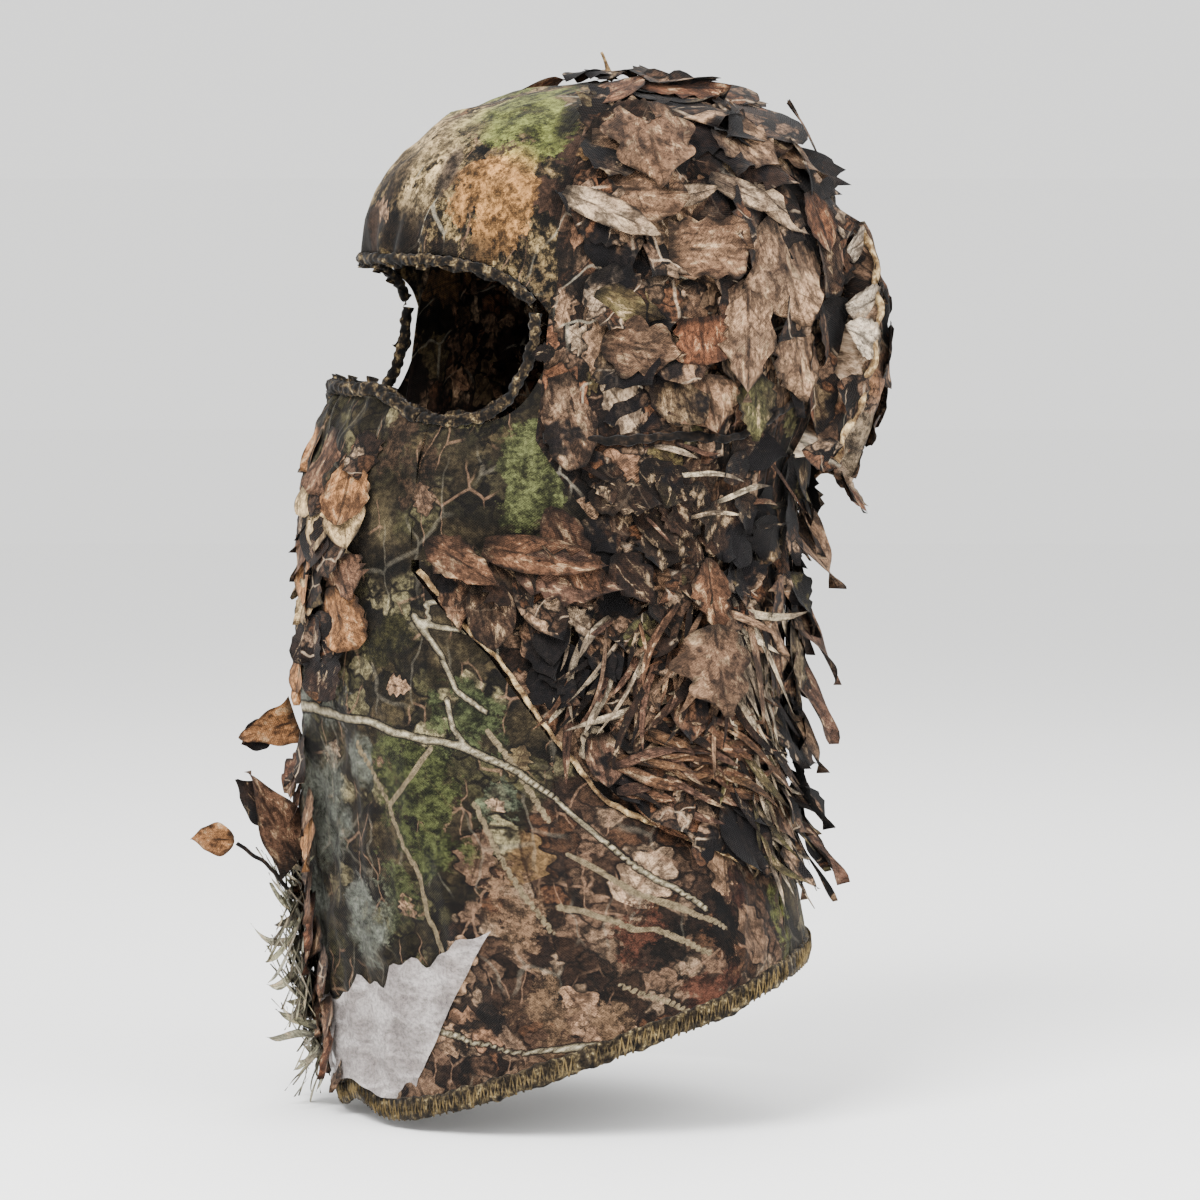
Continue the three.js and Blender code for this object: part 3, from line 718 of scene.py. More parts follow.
# The third number is how dark the patches of painted shade are on each kind of leaf.
CAP_LEAF = leaf_cloth("cap_leaf", LEAF_STOPS, 0.9)
RUFFLE_LEAF = leaf_cloth("ruffle_leaf", RUFFLE_STOPS, 0.2)
CAPE_LEAF = leaf_cloth("cape_leaf", CAPE_STOPS, 0.95)
FRONT_LEAF = leaf_cloth("front_leaf", FRONT_STOPS, 0.1)
GRASS = leaf_cloth("grass_cloth", GRASS_STOPS, 0.0)
EDGE_STOPS = [(0.42, "0f0c09"), (0.52, "332a1f"), (0.6, "695b42"), (0.68, "a39470")]
HEM_STOPS = [(0.38, "1b1710"), (0.50, "40372a"), (0.58, "655a42"), (0.68, "a39571")]
EDGE = thread_cloth("gathered_edge", EDGE_STOPS, 0.004)
DARK_EDGE = thread_cloth("dark_edge", [(0.38, "0d0b09"), (0.56, "2c231b"), (0.7, "5c4b3a")], 0.004)
TWIG_EDGE = thread_cloth("twig_edge", [(0.36, "4a3826"), (0.5, "8f7854"), (0.62, "cbb68c")], 0.006)
HEM = thread_cloth("hem_cloth", HEM_STOPS)
THREAD = thread_cloth("overlock_thread", [(0.4, "3f3622"), (0.6, "8a784f")], 0.006)


# ---- Painted colour zones ----
SPACING = 0.0018  # between the points of a cloth mesh
METRES_PER_DEGREE = 0.0019  # round the face, about where the branches are


def zones(spots):
    """Spots of (angle, level, half width in degrees, half height, colour, strength), as a painting rule."""

    def colour(angle, level, points):
        result = np.zeros(np.shape(angle) + (4,))
        wander = soft_noise(points, 0.02, 3)
        for a, l, wide, tall, code, strength in spots:
            away = ((np.abs(angle) - a) / wide) ** 2 + ((level - l) / tall) ** 2
            weight = strength * np.clip(1.35 - away**0.75 + 0.35 * wander, 0, 1)
            result[..., :3] += (np.array(rgb(code)[:3]) - result[..., :3]) * weight[..., None]
            result[..., 3] = np.maximum(result[..., 3], weight)
        result[..., :3] /= np.maximum(result[..., 3:], 1e-6)
        return np.clip(result, 0, 1)

    return colour


BROW_ZONES = zones(
    [
        (14, -0.022, 16, 0.026, "cdb68a", 0.8),
        (18, -0.050, 8, 0.014, "c4ae84", 0.75),
        (34, -0.002, 26, 0.028, "8f9450", 1.0),
        (50, -0.020, 10, 0.020, "8f9450", 0.95),
        (36, -0.049, 8, 0.016, "c0924e", 1.0),
        (45, -0.054, 9, 0.021, "c0924e", 1.0),
        (25, -0.040, 4, 0.016, "6b5d50", 0.9),
        (14, -0.066, 15, 0.011, "352c24", 0.8),
        (60, -0.052, 3, 0.02, DARK_BROWN, 0.8),
        (57, -0.008, 5, 0.020, SHADOW, 0.85),
        (5, -0.044, 5, 0.012, "4a3d30", 0.7),
        (22, -0.020, 7, 0.007, "5c5038", 0.75),
        (33, -0.072, 16, 0.006, "3a3025", 0.7),
    ]
)
VEIL_ZONES = zones(
    [
        (59, -0.162, 8, 0.026, "767a50", 0.9),
        (46, -0.150, 6, 0.02, SHADOW, 0.5),
        (31, -0.152, 10, 0.03, "5f4c3a", 0.6),
        (34, -0.298, 14, 0.034, "62673f", 0.7),
        (46, -0.262, 9, 0.020, "5d6444", 0.65),
        (24, -0.340, 9, 0.022, "5a5f3e", 0.6),
        (28, -0.232, 9, 0.018, "4e4a2e", 0.6),
        (4, -0.190, 9, 0.03, "7a5c3a", 0.6),
        (14, -0.345, 8, 0.022, "7f7e76", 0.55),
        (10, -0.262, 7, 0.020, "74716a", 0.5),
        (50, -0.300, 6, 0.014, "6f7561", 0.5),
        (52, -0.340, 9, 0.020, "94795e", 0.6),
        (56, -0.385, 14, 0.018, "8a7156", 0.55),
    ]
)
SKIRT_ZONES = zones(
    [
        (92, -0.352, 6, 0.018, "16120f", 0.85),
        (74, -0.352, 8, 0.016, "6e4733", 0.75),
        (90, -0.378, 9, 0.012, "714a36", 0.7),
        (118, -0.352, 6, 0.018, "7a7c48", 0.7),
        (64, -0.385, 10, 0.014, "8a7156", 0.6),
        (98, -0.336, 5, 0.012, "4a2f24", 0.7),
    ]
)
RUFFLE_ZONES = zones(
    [
        (140, -0.085, 8, 0.02, "d8c9b2", 0.8),
        (150, -0.120, 7, 0.012, "a8805c", 0.85),
        (146, -0.145, 8, 0.014, "a3927a", 0.8),
        (160, -0.100, 8, 0.016, SHADOW, 0.7),
        (170, -0.140, 8, 0.016, BROWN, 0.7),
    ]
)

# Where the printed branches run, as (angle, level), from the thick end to the tip, with the half width.
MAIN_BRANCH = (
    (0, -0.262),
    (28, -0.269),
    (44, -0.275),
    (55, -0.287),
    (62, -0.297),
    (76, -0.326),
    (88, -0.344),
)
PALE_BRANCHES = [
    (MAIN_BRANCH, 0.0017),
    (((53, -0.208), (46, -0.212), (38, -0.216), (39, -0.227)), 0.0016),
    (((36, -0.224), (43, -0.227), (49, -0.228), (57, -0.234)), 0.0013),
    (((35, -0.222), (41, -0.238), (44, -0.252), (50, -0.261)), 0.0014),
    (((42, -0.256), (43, -0.268), (46, -0.277)), 0.0011),
    (((-12, -0.384), (18, -0.391), (46, -0.400), (78, -0.396)), 0.0015),
]
THIN_TWIGS = [
    (((18, -0.276), (26, -0.300), (31, -0.330), (34, -0.362)), 0.0010),
    (((38, -0.276), (33, -0.288), (26, -0.300)), 0.0008),
    (((60, -0.342), (78, -0.350), (88, -0.362)), 0.0013),
    (((63, -0.318), (76, -0.336), (92, -0.352)), 0.0011),
    (((46, -0.300), (52, -0.330), (58, -0.352)), 0.0009),
    (((50, -0.270), (56, -0.290), (60, -0.306)), 0.0008),
    (((70, -0.372), (86, -0.388), (100, -0.380)), 0.0011),
]
FINEST_BRANCH = 0.0010  # half width that the cloth's points can still show

# Bare patches of the mesh, where the print is thin: angle, level, half width and half height.
BARE_PATCHES = [
    (6, -0.250, 8, 0.028),
    (5, -0.304, 9, 0.034),
    (12, -0.352, 9, 0.026),
    (18, -0.282, 6, 0.016),
]

# Above this line the veil is printed with moss and bark, and below it with leaf litter.
LITTER_ANGLES = (0, 28, 38, 50, 62, 90, 180)
LITTER_LEVELS = (-0.432, -0.402, -0.345, -0.318, -0.290, -0.280, -0.280)


def line_falloff(angle, level, line, half_width):
    """1 along a line, 0.5 at its edge and 0 at twice its half width. The line thins towards its tip."""
    here = np.stack([angle * METRES_PER_DEGREE, level], -1)
    spots = np.array(line) * (METRES_PER_DEGREE, 1)
    best = np.zeros(np.shape(angle))
    for k in range(len(spots) - 1):
        step = spots[k + 1] - spots[k]
        t = np.clip(((here - spots[k]) @ step) / (step @ step), 0, 1)
        away = np.linalg.norm(here - spots[k] - t[..., None] * step, axis=-1)
        wide = np.maximum(half_width * (1 - 0.6 * (k + t) / (len(spots) - 1)), FINEST_BRANCH)
        best = np.maximum(best, 1 - away / (2 * wide))
    return best


def branches(angle, level, points):
    """Pale branches, thin twigs, leaf litter and bare see-through patches, one in each channel."""
    result = np.zeros(np.shape(angle) + (4,))
    turn = np.abs(angle)
    litter_top = np.interp(turn, LITTER_ANGLES, LITTER_LEVELS)
    result[..., 2] = np.clip(0.5 + (litter_top - level) / 0.030, 0, 1)
    for a, l, wide, tall in BARE_PATCHES:
        away = ((turn - a) / wide) ** 2 + ((level - l) / tall) ** 2
        result[..., 3] = np.maximum(result[..., 3], np.clip(1.2 - away, 0, 1))
    wander = 0.0022 * soft_noise(points, 0.022, 8) + 0.0008 * soft_noise(points, 0.007, 9)
    for channel, lines in enumerate((PALE_BRANCHES, THIN_TWIGS)):
        for line, half_width in lines:
            found = line_falloff(turn, level + wander, line, half_width)
            result[..., channel] = np.maximum(result[..., channel], found)
    return result


# ---- Sheets ----
def sheet(name, place, size, material, layout, folds=None, zone=None, lines=False, thick=0.0007):
    """A panel of cloth, about size = (across, up). place(s, t) gives its angle and level."""
    columns, rows = (max(4, int(length / SPACING)) for length in size)
    s, t = np.meshgrid(np.linspace(0, 1, columns + 1), np.linspace(0, 1, rows + 1))
    angle, level, lift = np.broadcast_arrays(*place(s, t))
    flat = cloth_point(angle, level)
    if folds:
        lift = lift + folds(flat, s, t)
    none = np.zeros(flat.shape[:2] + (4,))
    colours = {"zone": zone(angle, level, flat) if zone else none}
    colours["lines"] = branches(angle, level, flat) if lines else none
    points = cloth(angle, level, lift)
    obj = build(name, points, grid_faces(columns, rows), material, layout(angle, level), colours)
    if thick:
        solid = obj.modifiers.new("thickness", "SOLIDIFY")
        solid.thickness = thick
        solid.offset = -1
    return obj


UPRIGHT = np.array([1, 1, 0.45])  # stretches folds up and down the cloth
SLANTED = np.array([[0.9, 0.2, 0.5], [-0.2, 0.9, -0.5], [-0.25, 0.3, 0.6]])  # runs them down towards the back


def crumple(points, size, seed):
    """Folds and dents of slack cloth, about -1 to 1."""
    broad = creases(points @ SLANTED, size, seed) - 0.4
    small = creases(points * UPRIGHT, size * 0.4, seed + 5) - 0.4
    return broad + 0.45 * small + 0.25 * soft_noise(points, size * 0.2, seed + 7)


def swapped(s, side):
    """The share across a panel, which runs the other way on the wearer's right."""
    return s if side > 0 else 1 - s


def slack(depth, size, seed):
    """Folds that die out towards a panel's sewn edges."""

    def folds(points, s, t):
        rim = np.clip(np.minimum(np.minimum(s, 1 - s), np.minimum(t, 1 - t)) * 9, 0, 1)
        return depth * rim * crumple(points, size, seed)

    return folds


def gathers(points, from_edge, reach, seed):
    """Fine pleats that run into a gathered edge."""
    phase = np.arctan2(points[..., 0], -points[..., 1]) * 42 + 3.5 * soft_noise(points, 0.014, seed)
    return 0.0014 * np.exp(-((from_edge / reach) ** 2)) * np.sin(phase)


def flat_size(width, length, share=None):
    """Works out the area of the flat cloth that a panel is cut from, and keeps nothing; share is how much of
    that oblong it fills.
    """
    area = None if share is None else share * width * length


def add_cap():
    def brow(s, t):
        foot = eye_top((2 * s - 1) * CROWN_SEAM) + 0.004
        level = foot + (CROWN_RING - foot) * t
        return (2 * s - 1) * (crown_seam(level) + 1.2), level, 0.0

    def brow_folds(points, s, t):
        return slack(0.0026, 0.036, 2)(points, s, t) + gathers(points, t, 0.12, 3)

    panel = sheet("brow_cloth_panel", brow, (0.21, 0.11), BROW_CLOTH, cap_print, brow_folds, BROW_ZONES)
    put(panel, "hood", "brow_cloth", "brow_panel")
    flat_size(0.225, 0.125, share=0.72)
    for side, name in SIDES:

        def crown(s, t, side=side):
            s = swapped(s, side)
            foot = cap_edge(CROWN_SEAM + (BACK_SEAM - CROWN_SEAM) * s)
            level = foot + (CROWN_RING - foot) * t
            front = crown_seam(level)
            return side * (front + (BACK_SEAM - front) * s), level, 0.0

        folds = slack(0.0024, 0.026, 7 + side)
        panel = sheet(f"crown_cloth_{name}", crown, (0.15, 0.17), CAP_CLOTH, cap_print, folds)
        put(panel, "hood", "crown_cloth", f"crown_panel_{name}")
        flat_size(0.16, 0.185, share=0.72)

    def back(s, t):
        foot = cap_edge(BACK_SEAM)
        return BACK_SEAM + (360 - 2 * BACK_SEAM) * s, foot + (CROWN_RING - foot) * t, 0.0

    panel = sheet("crown_cloth_back", back, (0.08, 0.125), CAP_CLOTH, cap_print, slack(0.002, 0.022, 4))
    put(panel, "hood", "crown_cloth", "crown_panel_back")
    flat_size(0.084, 0.128, share=0.72)


def veil_drape(points):
    """The veil's own folds: slanting creases from the nose down towards the cape."""
    return 0.0056 * crumple(points, 0.046, 5) + 0.0014 * crumple(points, 0.018, 6)


def cheek_place(side):
    def place(s, t):
        s = swapped(s, side)
        top = eye_bottom(VEIL_EDGE + (HALF_EYE - 0.5 - VEIL_EDGE) * s) - 0.004
        level = JAW + (top - JAW) * t
        return side * (VEIL_EDGE + (cheek_seam(level) - VEIL_EDGE) * s), level, 0.0

    return place


def add_veil():
    def veil(s, t):
        top = eye_bottom((2 * s - 1) * VEIL_EDGE) - 0.004
        level = VEIL_FOOT + (top - VEIL_FOOT) * t
        return (2 * s - 1) * veil_half(level), level, 0.0

    def veil_folds(points, s, t):
        return veil_drape(points) * np.clip((1 - t) * 8, 0, 1) + gathers(points, 1 - t, 0.16, 4)

    cut = (VEIL_CLOTH, wall_print)
    upper = sheet("veil_mesh_upper", veil, (0.14, 0.11), *cut, veil_folds, VEIL_ZONES, True, 0)
    put(upper, None, "veil_mesh", "face_veil")
    flat_size(0.15, 0.115)
    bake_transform(upper)

    def lower(s, t):
        edge = (2 * s - 1) * BIB_EDGE
        foot = hem_level(edge) + HEM_INSIDE
        level = foot + (VEIL_FOOT - foot) * t
        return (2 * s - 1) * np.minimum(veil_half(level), BIB_EDGE), level, 0.0

    def lower_folds(points, s, t):
        return veil_drape(points) * np.clip(t * 9, 0, 1)

    bib = sheet("veil_mesh_bib", lower, (0.25, 0.19), *cut, lower_folds, VEIL_ZONES, True, 0)
    put(bib, None, "veil_mesh", "bib_panel", "chin_fold")
    flat_size(0.26, 0.195)
    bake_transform(bib)
    for side, name in SIDES:
        folds = slack(0.0022, 0.03, 11 + side)
        name = f"cheek_mesh_{name}"
        cheek = sheet(name, cheek_place(side), (0.055, 0.07), *cut, folds, VEIL_ZONES, thick=0)
        put(cheek, None, "veil_mesh", name.replace("mesh", "panel"))
        flat_size(0.068, 0.075, share=0.75)
        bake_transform(cheek)
    add_sheer_corner()


def add_sheer_corner():
    """The bare single layer of mesh at the front corner, from the front edge up to a sharp point."""

    def corner(s, t):
        foot = np.maximum(-0.434, hem_level(-14 + 34 * s) + HEM_DEPTH)
        ragged = 0.0035 * np.sin(s * 23) + 0.002 * np.sin(s * 57 + 1)
        top = -0.388 + 0.037 * s**1.4 + ragged * (1 - s) * s * 4
        level = foot + (top - foot) * t
        return -14 + (34 + 26 * t) * s, level, 0.0

    def folds(points, s, t):
        return veil_drape(points) + 0.0011

    piece = sheet("veil_mesh_corner", corner, (0.09, 0.06), SHEER, wall_print, folds, thick=0)
    put(piece, "bib", "veil_mesh", "bib_panel")
    flat_size(0.1, 0.075, share=0.6)


def wall_sheet(name, node, slot, material, start, end, foot, top, folds, zone=None, lines=False):
    """A panel below the cap, from one angle to another and between two level lines."""

    def place(s, t):
        angle = start + (end - start) * s
        low, high = foot(angle), top(angle)
        return angle, low + (high - low) * t, 0.0

    middle = (start + end) / 2
    width = abs(end - start) * float(np.linalg.norm(cloth_steps(middle, -0.26)[0]))
    height = float(np.mean([top(a) - foot(a) for a in (start, middle, end)]))
    panel = sheet(name, place, (width, height), material, wall_print, folds, zone, lines)
    put(panel, "hood", slot, node)
    flat_size(width * 1.03, height * 1.03)


def level_line(value):
    """A line at one level all the way round."""

    def line(angle):
        return value + 0 * angle

    return line


def cap_edge_around(angle):
    """The cap's edge, read all the way round the head."""
    return cap_edge(np.minimum(angle, 360 - angle))


def add_neck_and_cape():
    for side, name in SIDES:

        def neck(s, t, side=side):
            s = swapped(s, side)
            front = cheek_seam(JAW + (EAR - JAW) * t)
            angle = front + (CAPE_SEAM - front) * s
            return side * angle, JAW + (cap_edge(angle) - JAW) * t, 0.0

        folds = slack(0.0022, 0.022, 15 + side)
        panel = sheet(f"neck_cloth_{name}", neck, (0.1, 0.055), CAPE_CLOTH, wall_print, folds)
        put(panel, "hood", "cape_cloth", f"neck_panel_{name}")
        flat_size(0.10, 0.055)
        ends = (CAPE_ANGLES[0], CAPE_SEAM) if side > 0 else (-CAPE_SEAM, -CAPE_ANGLES[0])
        panels = (f"cape_cloth_{name}", f"cape_panel_{name}")
        folds = slack(0.0024, 0.03, 21 + side)
        wall_sheet(*panels, "cape_cloth", CAPE_CLOTH, *ends, cape_edge, level_line(JAW), folds)
    jaw = level_line(JAW)
    cut = ("cape_cloth", CAPE_CLOTH, *BEHIND)
    folds = slack(0.0024, 0.03, 31)
    wall_sheet("nape_cloth", "nape_panel", *cut, jaw, cap_edge_around, folds)
    wall_sheet("cape_cloth_back", "cape_panel_back", *cut, cape_edge, jaw, folds)


TUCK = 0.034  # how far the skirt runs up behind the cape


def above_hem(angle):
    return hem_level(angle) + HEM_INSIDE


def above_cape_edge(drop):
    """The line some metres above the cape's edge."""

    def line(angle):
        return cape_edge(angle) + drop

    return line


def add_skirt():
    for side, name in SIDES:

        def skirt(s, t, side=side):
            s = swapped(s, side)
            angle = BIB_EDGE + (CAPE_SEAM - BIB_EDGE) * s
            foot = hem_level(angle) + HEM_INSIDE
            level = foot + (cape_edge(angle) + TUCK - foot) * t
            tucked = ease((level - cape_edge(angle) + 0.002) / 0.006)
            return side * angle, level, -0.0026 * tucked

        def folds(points, s, t):
            return veil_drape(points) * np.clip(t * 9, 0, 1) * np.clip((0.75 - t) * 4, 0, 1)

        name = f"skirt_mesh_{name}"
        panel = sheet(name, skirt, (0.11, 0.13), SKIRT_CLOTH, wall_print, folds, SKIRT_ZONES, True)
        put(panel, None, "skirt_mesh", name.replace("mesh", "panel"))
        flat_size(0.115, 0.14, share=0.9)
        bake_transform(panel)
    lines = (above_hem, above_cape_edge(0.003))
    nodes = ("skirt_mesh_back", "skirt_panel_back")
    wall_sheet(*nodes, "skirt_mesh", SKIRT_CLOTH, *BEHIND, *lines, slack(0.001, 0.03, 45), SKIRT_ZONES)


# ---- Rolls, bindings and threads ----
def lengths(points):
    """How far along a line each of its points is."""
    return np.concatenate([[0], np.cumsum(np.linalg.norm(np.diff(points, axis=0), axis=1))])


def sweep(centres, outs, radius, sides, flatten=1.0, scatter=0.0):
    """Points and faces of a closed tube along centres; radius(along, turn) is its half thickness."""
    count = len(centres)
    tangent = unit(np.gradient(centres, axis=0))
    side = unit(np.cross(tangent, outs))
    out = np.cross(side, tangent)
    along = lengths(centres)[:, None]
    turn = np.linspace(0, 2 * math.pi, sides, endpoint=False)[None, :]
    r = radius(along, turn) * np.ones((count, sides))
    ring = np.cos(turn)[..., None] * out[:, None] * flatten + np.sin(turn)[..., None] * side[:, None]
    points = centres[:, None] + ring * r[..., None]
    if scatter:
        points = points + scatter * soft_noise(points, 0.003, 4)[..., None] * ring
    faces = []
    for i in range(count - 1):
        for k in range(sides):
            a, b = i * sides + k, i * sides + (k + 1) % sides
            faces.append((a, b, b + sides, a + sides))
    faces.append(tuple(range(sides))[::-1])
    faces.append(tuple((count - 1) * sides + k for k in range(sides)))
    return points.reshape(-1, 3), faces


def joined(parts):
    """Several (points, faces) pairs as one."""
    points, faces, first = [], [], 0
    for some, shapes in parts:
        points.append(np.asarray(some).reshape(-1, 3))
        faces += [tuple(first + k for k in shape) for shape in shapes]
        first += len(points[-1])
    return np.concatenate(points), faces


GATHER_PITCH = 0.0042  # from one gather of an elastic edge to the next
CRINKLE_PITCH = 0.0052  # along the free edge of the cloth beyond it


def frill_parts(angle, level, lift, toward, radius, seed):
    """A scrunched roll of gathered cloth, and a crinkled free edge that stands beyond it."""
    centres = cloth(angle, level, lift)
    _, side, out = cloth_frame(angle, level)
    up = np.cross(out, side)

    def scrunched(along, turn):
        pinch = np.abs(np.sin(math.pi * along / GATHER_PITCH + 1.3 * np.sin(turn + along * 90)))
        lumps = np.sin(along * 310 + 2 * turn + seed) * np.sin(along * 137 - turn)
        return radius * (0.74 + 0.30 * pinch + 0.22 * lumps)

    roll = sweep(centres, out, scrunched, 12, scatter=0.0006)
    along = lengths(centres)
    rows = []
    for reach in (0.0, 0.5, 1.0):
        crinkle = np.sin(along * 2 * math.pi / CRINKLE_PITCH + 2 * np.sin(along * 160 + seed))
        stand = radius * (0.5 + 1.15 * reach * (0.8 + 0.35 * np.sin(along * 420 + seed)))
        sway = crinkle * radius * 0.75 * reach
        rows.append(centres + (toward * up) * stand[:, None] + out * sway[:, None])
    edge = (np.concatenate(rows), grid_faces(len(along) - 1, 2))
    return [roll, edge]


def resample(line, spacing=0.0009):
    """(angle, level) pairs spread evenly along a line."""
    line = np.asarray(line, float)
    points = cloth_point(line[:, 0], line[:, 1])
    along = lengths(points)
    even = np.linspace(0, along[-1], max(3, int(along[-1] / (spacing * COARSE))))
    return np.interp(even, along, line[:, 0]), np.interp(even, along, line[:, 1])


def frill(name, line, body, node, lift, toward, radius, seed):
    """A gathered elastic edge along a line of (angle, level)."""
    points, faces = joined(frill_parts(*resample(line), lift, toward, radius, seed))
    return put(build(name, points, faces, EDGE), body, "elastic_edge", node)


def add_elastics():
    turn = np.linspace(-HALF_EYE + 0.5, HALF_EYE - 0.5, 60)
    line = np.stack([turn, eye_top(turn) + ROLL], -1)
    frill("brow_frill", line, "hood", "brow_elastic", 0.0008, -1, ROLL, 1.0)
    turn = np.linspace(-31, 31, 40)
    line = np.stack([turn, eye_bottom(turn) - ROLL], -1)
    frill("nose_frill", line, "nose_band", "nose_elastic", 0.0012, 1, ROLL * 1.25, 4.0)
    for side, name in SIDES:
        turn = np.linspace(53, 31.5, 14)
        corner = [(55.6, -0.096), (55.8, -0.108), (54.8, -0.117)]
        line = np.array(corner + list(zip(turn, eye_bottom(turn) - ROLL)))
        line[:, 0] *= side
        edge = frill(f"cheek_frill_{name}", line, None, f"cheek_elastic_{name}", 0.0008, side, ROLL, 7.0)
        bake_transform(edge)


def binding(name, line, lift, radius, material, body, slot, *nodes, flatten=0.6, seed=0.0):
    """A lumpy bound edge that wanders a little along a line."""
    angle, level = resample(line)
    wander = 0.0008 * np.sin(np.arange(len(angle)) * 0.11 + seed)
    centres = cloth(angle, level + wander, lift)
    _, _, out = cloth_frame(angle, level)

    def lumpy(along, turn):
        return radius * (0.85 + 0.18 * np.sin(along * 700 + turn) + 0.16 * np.sin(along * 190 + seed))

    points, faces = sweep(centres, out, lumpy, 8, flatten)
    return put(build(name, points, faces, material), body, slot, *nodes)


def add_bindings():
    for side, name in SIDES:
        turn = np.linspace(60, BACK_SEAM, 40)
        line = np.stack([side * turn, cap_edge(turn)], -1)
        nodes = ("hood", "elastic_edge", f"cap_edge_binding_{name}")
        binding(f"cap_edge_cord_{name}", line, 0.0022, 0.0022, DARK_EDGE, *nodes, seed=side)
        turn = np.linspace(CAPE_ANGLES[0], CAPE_SEAM, 40)
        line = np.stack([side * turn, cape_edge(turn) + 0.001], -1)
        nodes = ("hood", "cape_cloth", f"cape_panel_{name}")
        binding(f"cape_edge_cord_{name}", line, 0.0010, 0.0013, TWIG_EDGE, *nodes, flatten=1.0, seed=side)
    turn = np.linspace(*BEHIND, 60)
    line = np.stack([turn, cape_edge(turn) + 0.001], -1)
    nodes = ("hood", "cape_cloth", "cape_panel_back")
    binding("cape_edge_cord_back", line, 0.0010, 0.0013, DARK_EDGE, *nodes, flatten=1.0)


STITCH_PITCH = 0.0034
# One overlock stitch: share of the pitch, and height as a share of the hem's depth.
STITCH_PATH = ((0.0, -0.54), (0.25, -0.1), (0.5, 0.42), (0.75, -0.1), (1.0, -0.54))


def thread_radius(along, turn):
    return 0.00042 + 0 * along * turn


def hem_parts(start, end):
    """The folded hem and its overlock stitches between two angles."""
    turn = np.linspace(start, end, 120)
    angle, level = resample(np.stack([turn, hem_level(turn) + HEM_DEPTH / 2], -1), 0.0014)
    centres = cloth(angle, level)
    _, side, out = cloth_frame(angle, level)
    up = np.cross(out, side)

    def band(along, turn):
        squareness = (np.abs(np.cos(turn)) ** 4 + np.abs(np.sin(turn)) ** 4) ** -0.25
        ripple = 1 + 0.07 * np.sin(along * 900) + 0.10 * np.sin(along * 240 + 2 * np.sin(along * 61))
        return HEM_DEPTH / 2 * squareness * ripple

    folded = sweep(centres, out, band, 14, 0.34, scatter=0.0004)
    along = lengths(centres)
    pitch = STITCH_PITCH * COARSE
    count = int(along[-1] / pitch)
    stitches = []
    for k in range(1, count - 1):
        path = []
        for share, rise in STITCH_PATH:
            at = (k + share) * pitch
            middle = np.array([np.interp(at, along, centres[:, i]) for i in range(3)])
            n = int(np.searchsorted(along, at))
            stand = 0.0019 if rise > -0.5 else 0.0006
            path.append(middle + up[n] * rise * HEM_DEPTH + out[n] * stand)
        normal = np.repeat(out[n][None], len(path), 0)
        stitches.append(sweep(np.array(path), normal, thread_radius, 4))
    return folded, stitches


def add_hem():
    pieces = [
        ("front", -BIB_EDGE, BIB_EDGE, "bib", "hem_binding_front"),
        ("left", BIB_EDGE, CAPE_SEAM, None, "hem_binding_round"),
        ("right", -CAPE_SEAM, -BIB_EDGE, None, "hem_binding_round"),
        ("back", *BEHIND, "hood", "hem_binding_round"),
    ]
    for name, start, end, body, node in pieces:
        folded, stitches = hem_parts(start, end)
        band = build(f"hem_fold_{name}", *folded, HEM)
        thread = build(f"hem_stitches_{name}", *joined(stitches), THREAD)
        for obj in (band, thread):
            put(obj, body, "hem_binding", node)
            if body is None:
                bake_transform(obj)


# ---- Leaves ----
def outline(kind, along, seed):
    """Half width of a leaf, as a share of its widest, from stem to tip."""
    tip = np.clip((1 - along) / 0.25, 0, 1) ** 0.6
    bulge = (0.16 + 0.84 * np.sin(math.pi * along**0.75)) * tip
    if kind == "oak":
        return bulge * (0.72 + 0.34 * np.abs(np.sin(math.pi * (3.0 * along + 0.1 * seed))))
    if kind == "blade":
        return (0.5 + 0.5 * np.sin(math.pi * along**0.8)) * tip
    if kind == "flap":
        return (1 - along) ** 0.75 * (1 + 0.10 * np.sin(along * 11 + seed)) + 0.02
    if kind == "plain":
        return bulge * (1 + 0.05 * np.sin(along * 13 + seed))
    if kind == "round":
        return np.sin(math.pi * np.clip(along, 0.04, 0.985)) ** 0.42 * (1 + 0.07 * np.sin(along * 31 + seed))
    if kind == "block":
        return np.clip((0.99 - along) * 14, 0, 1) ** 0.5 * (0.92 + 0.10 * np.sin(along * 23 + seed))
    jag = np.sin(along * 37 + seed) * 0.18 + np.sin(along * 71 + 2.3 * seed) * 0.12
    return bulge * (1 + jag * np.sin(math.pi * along))


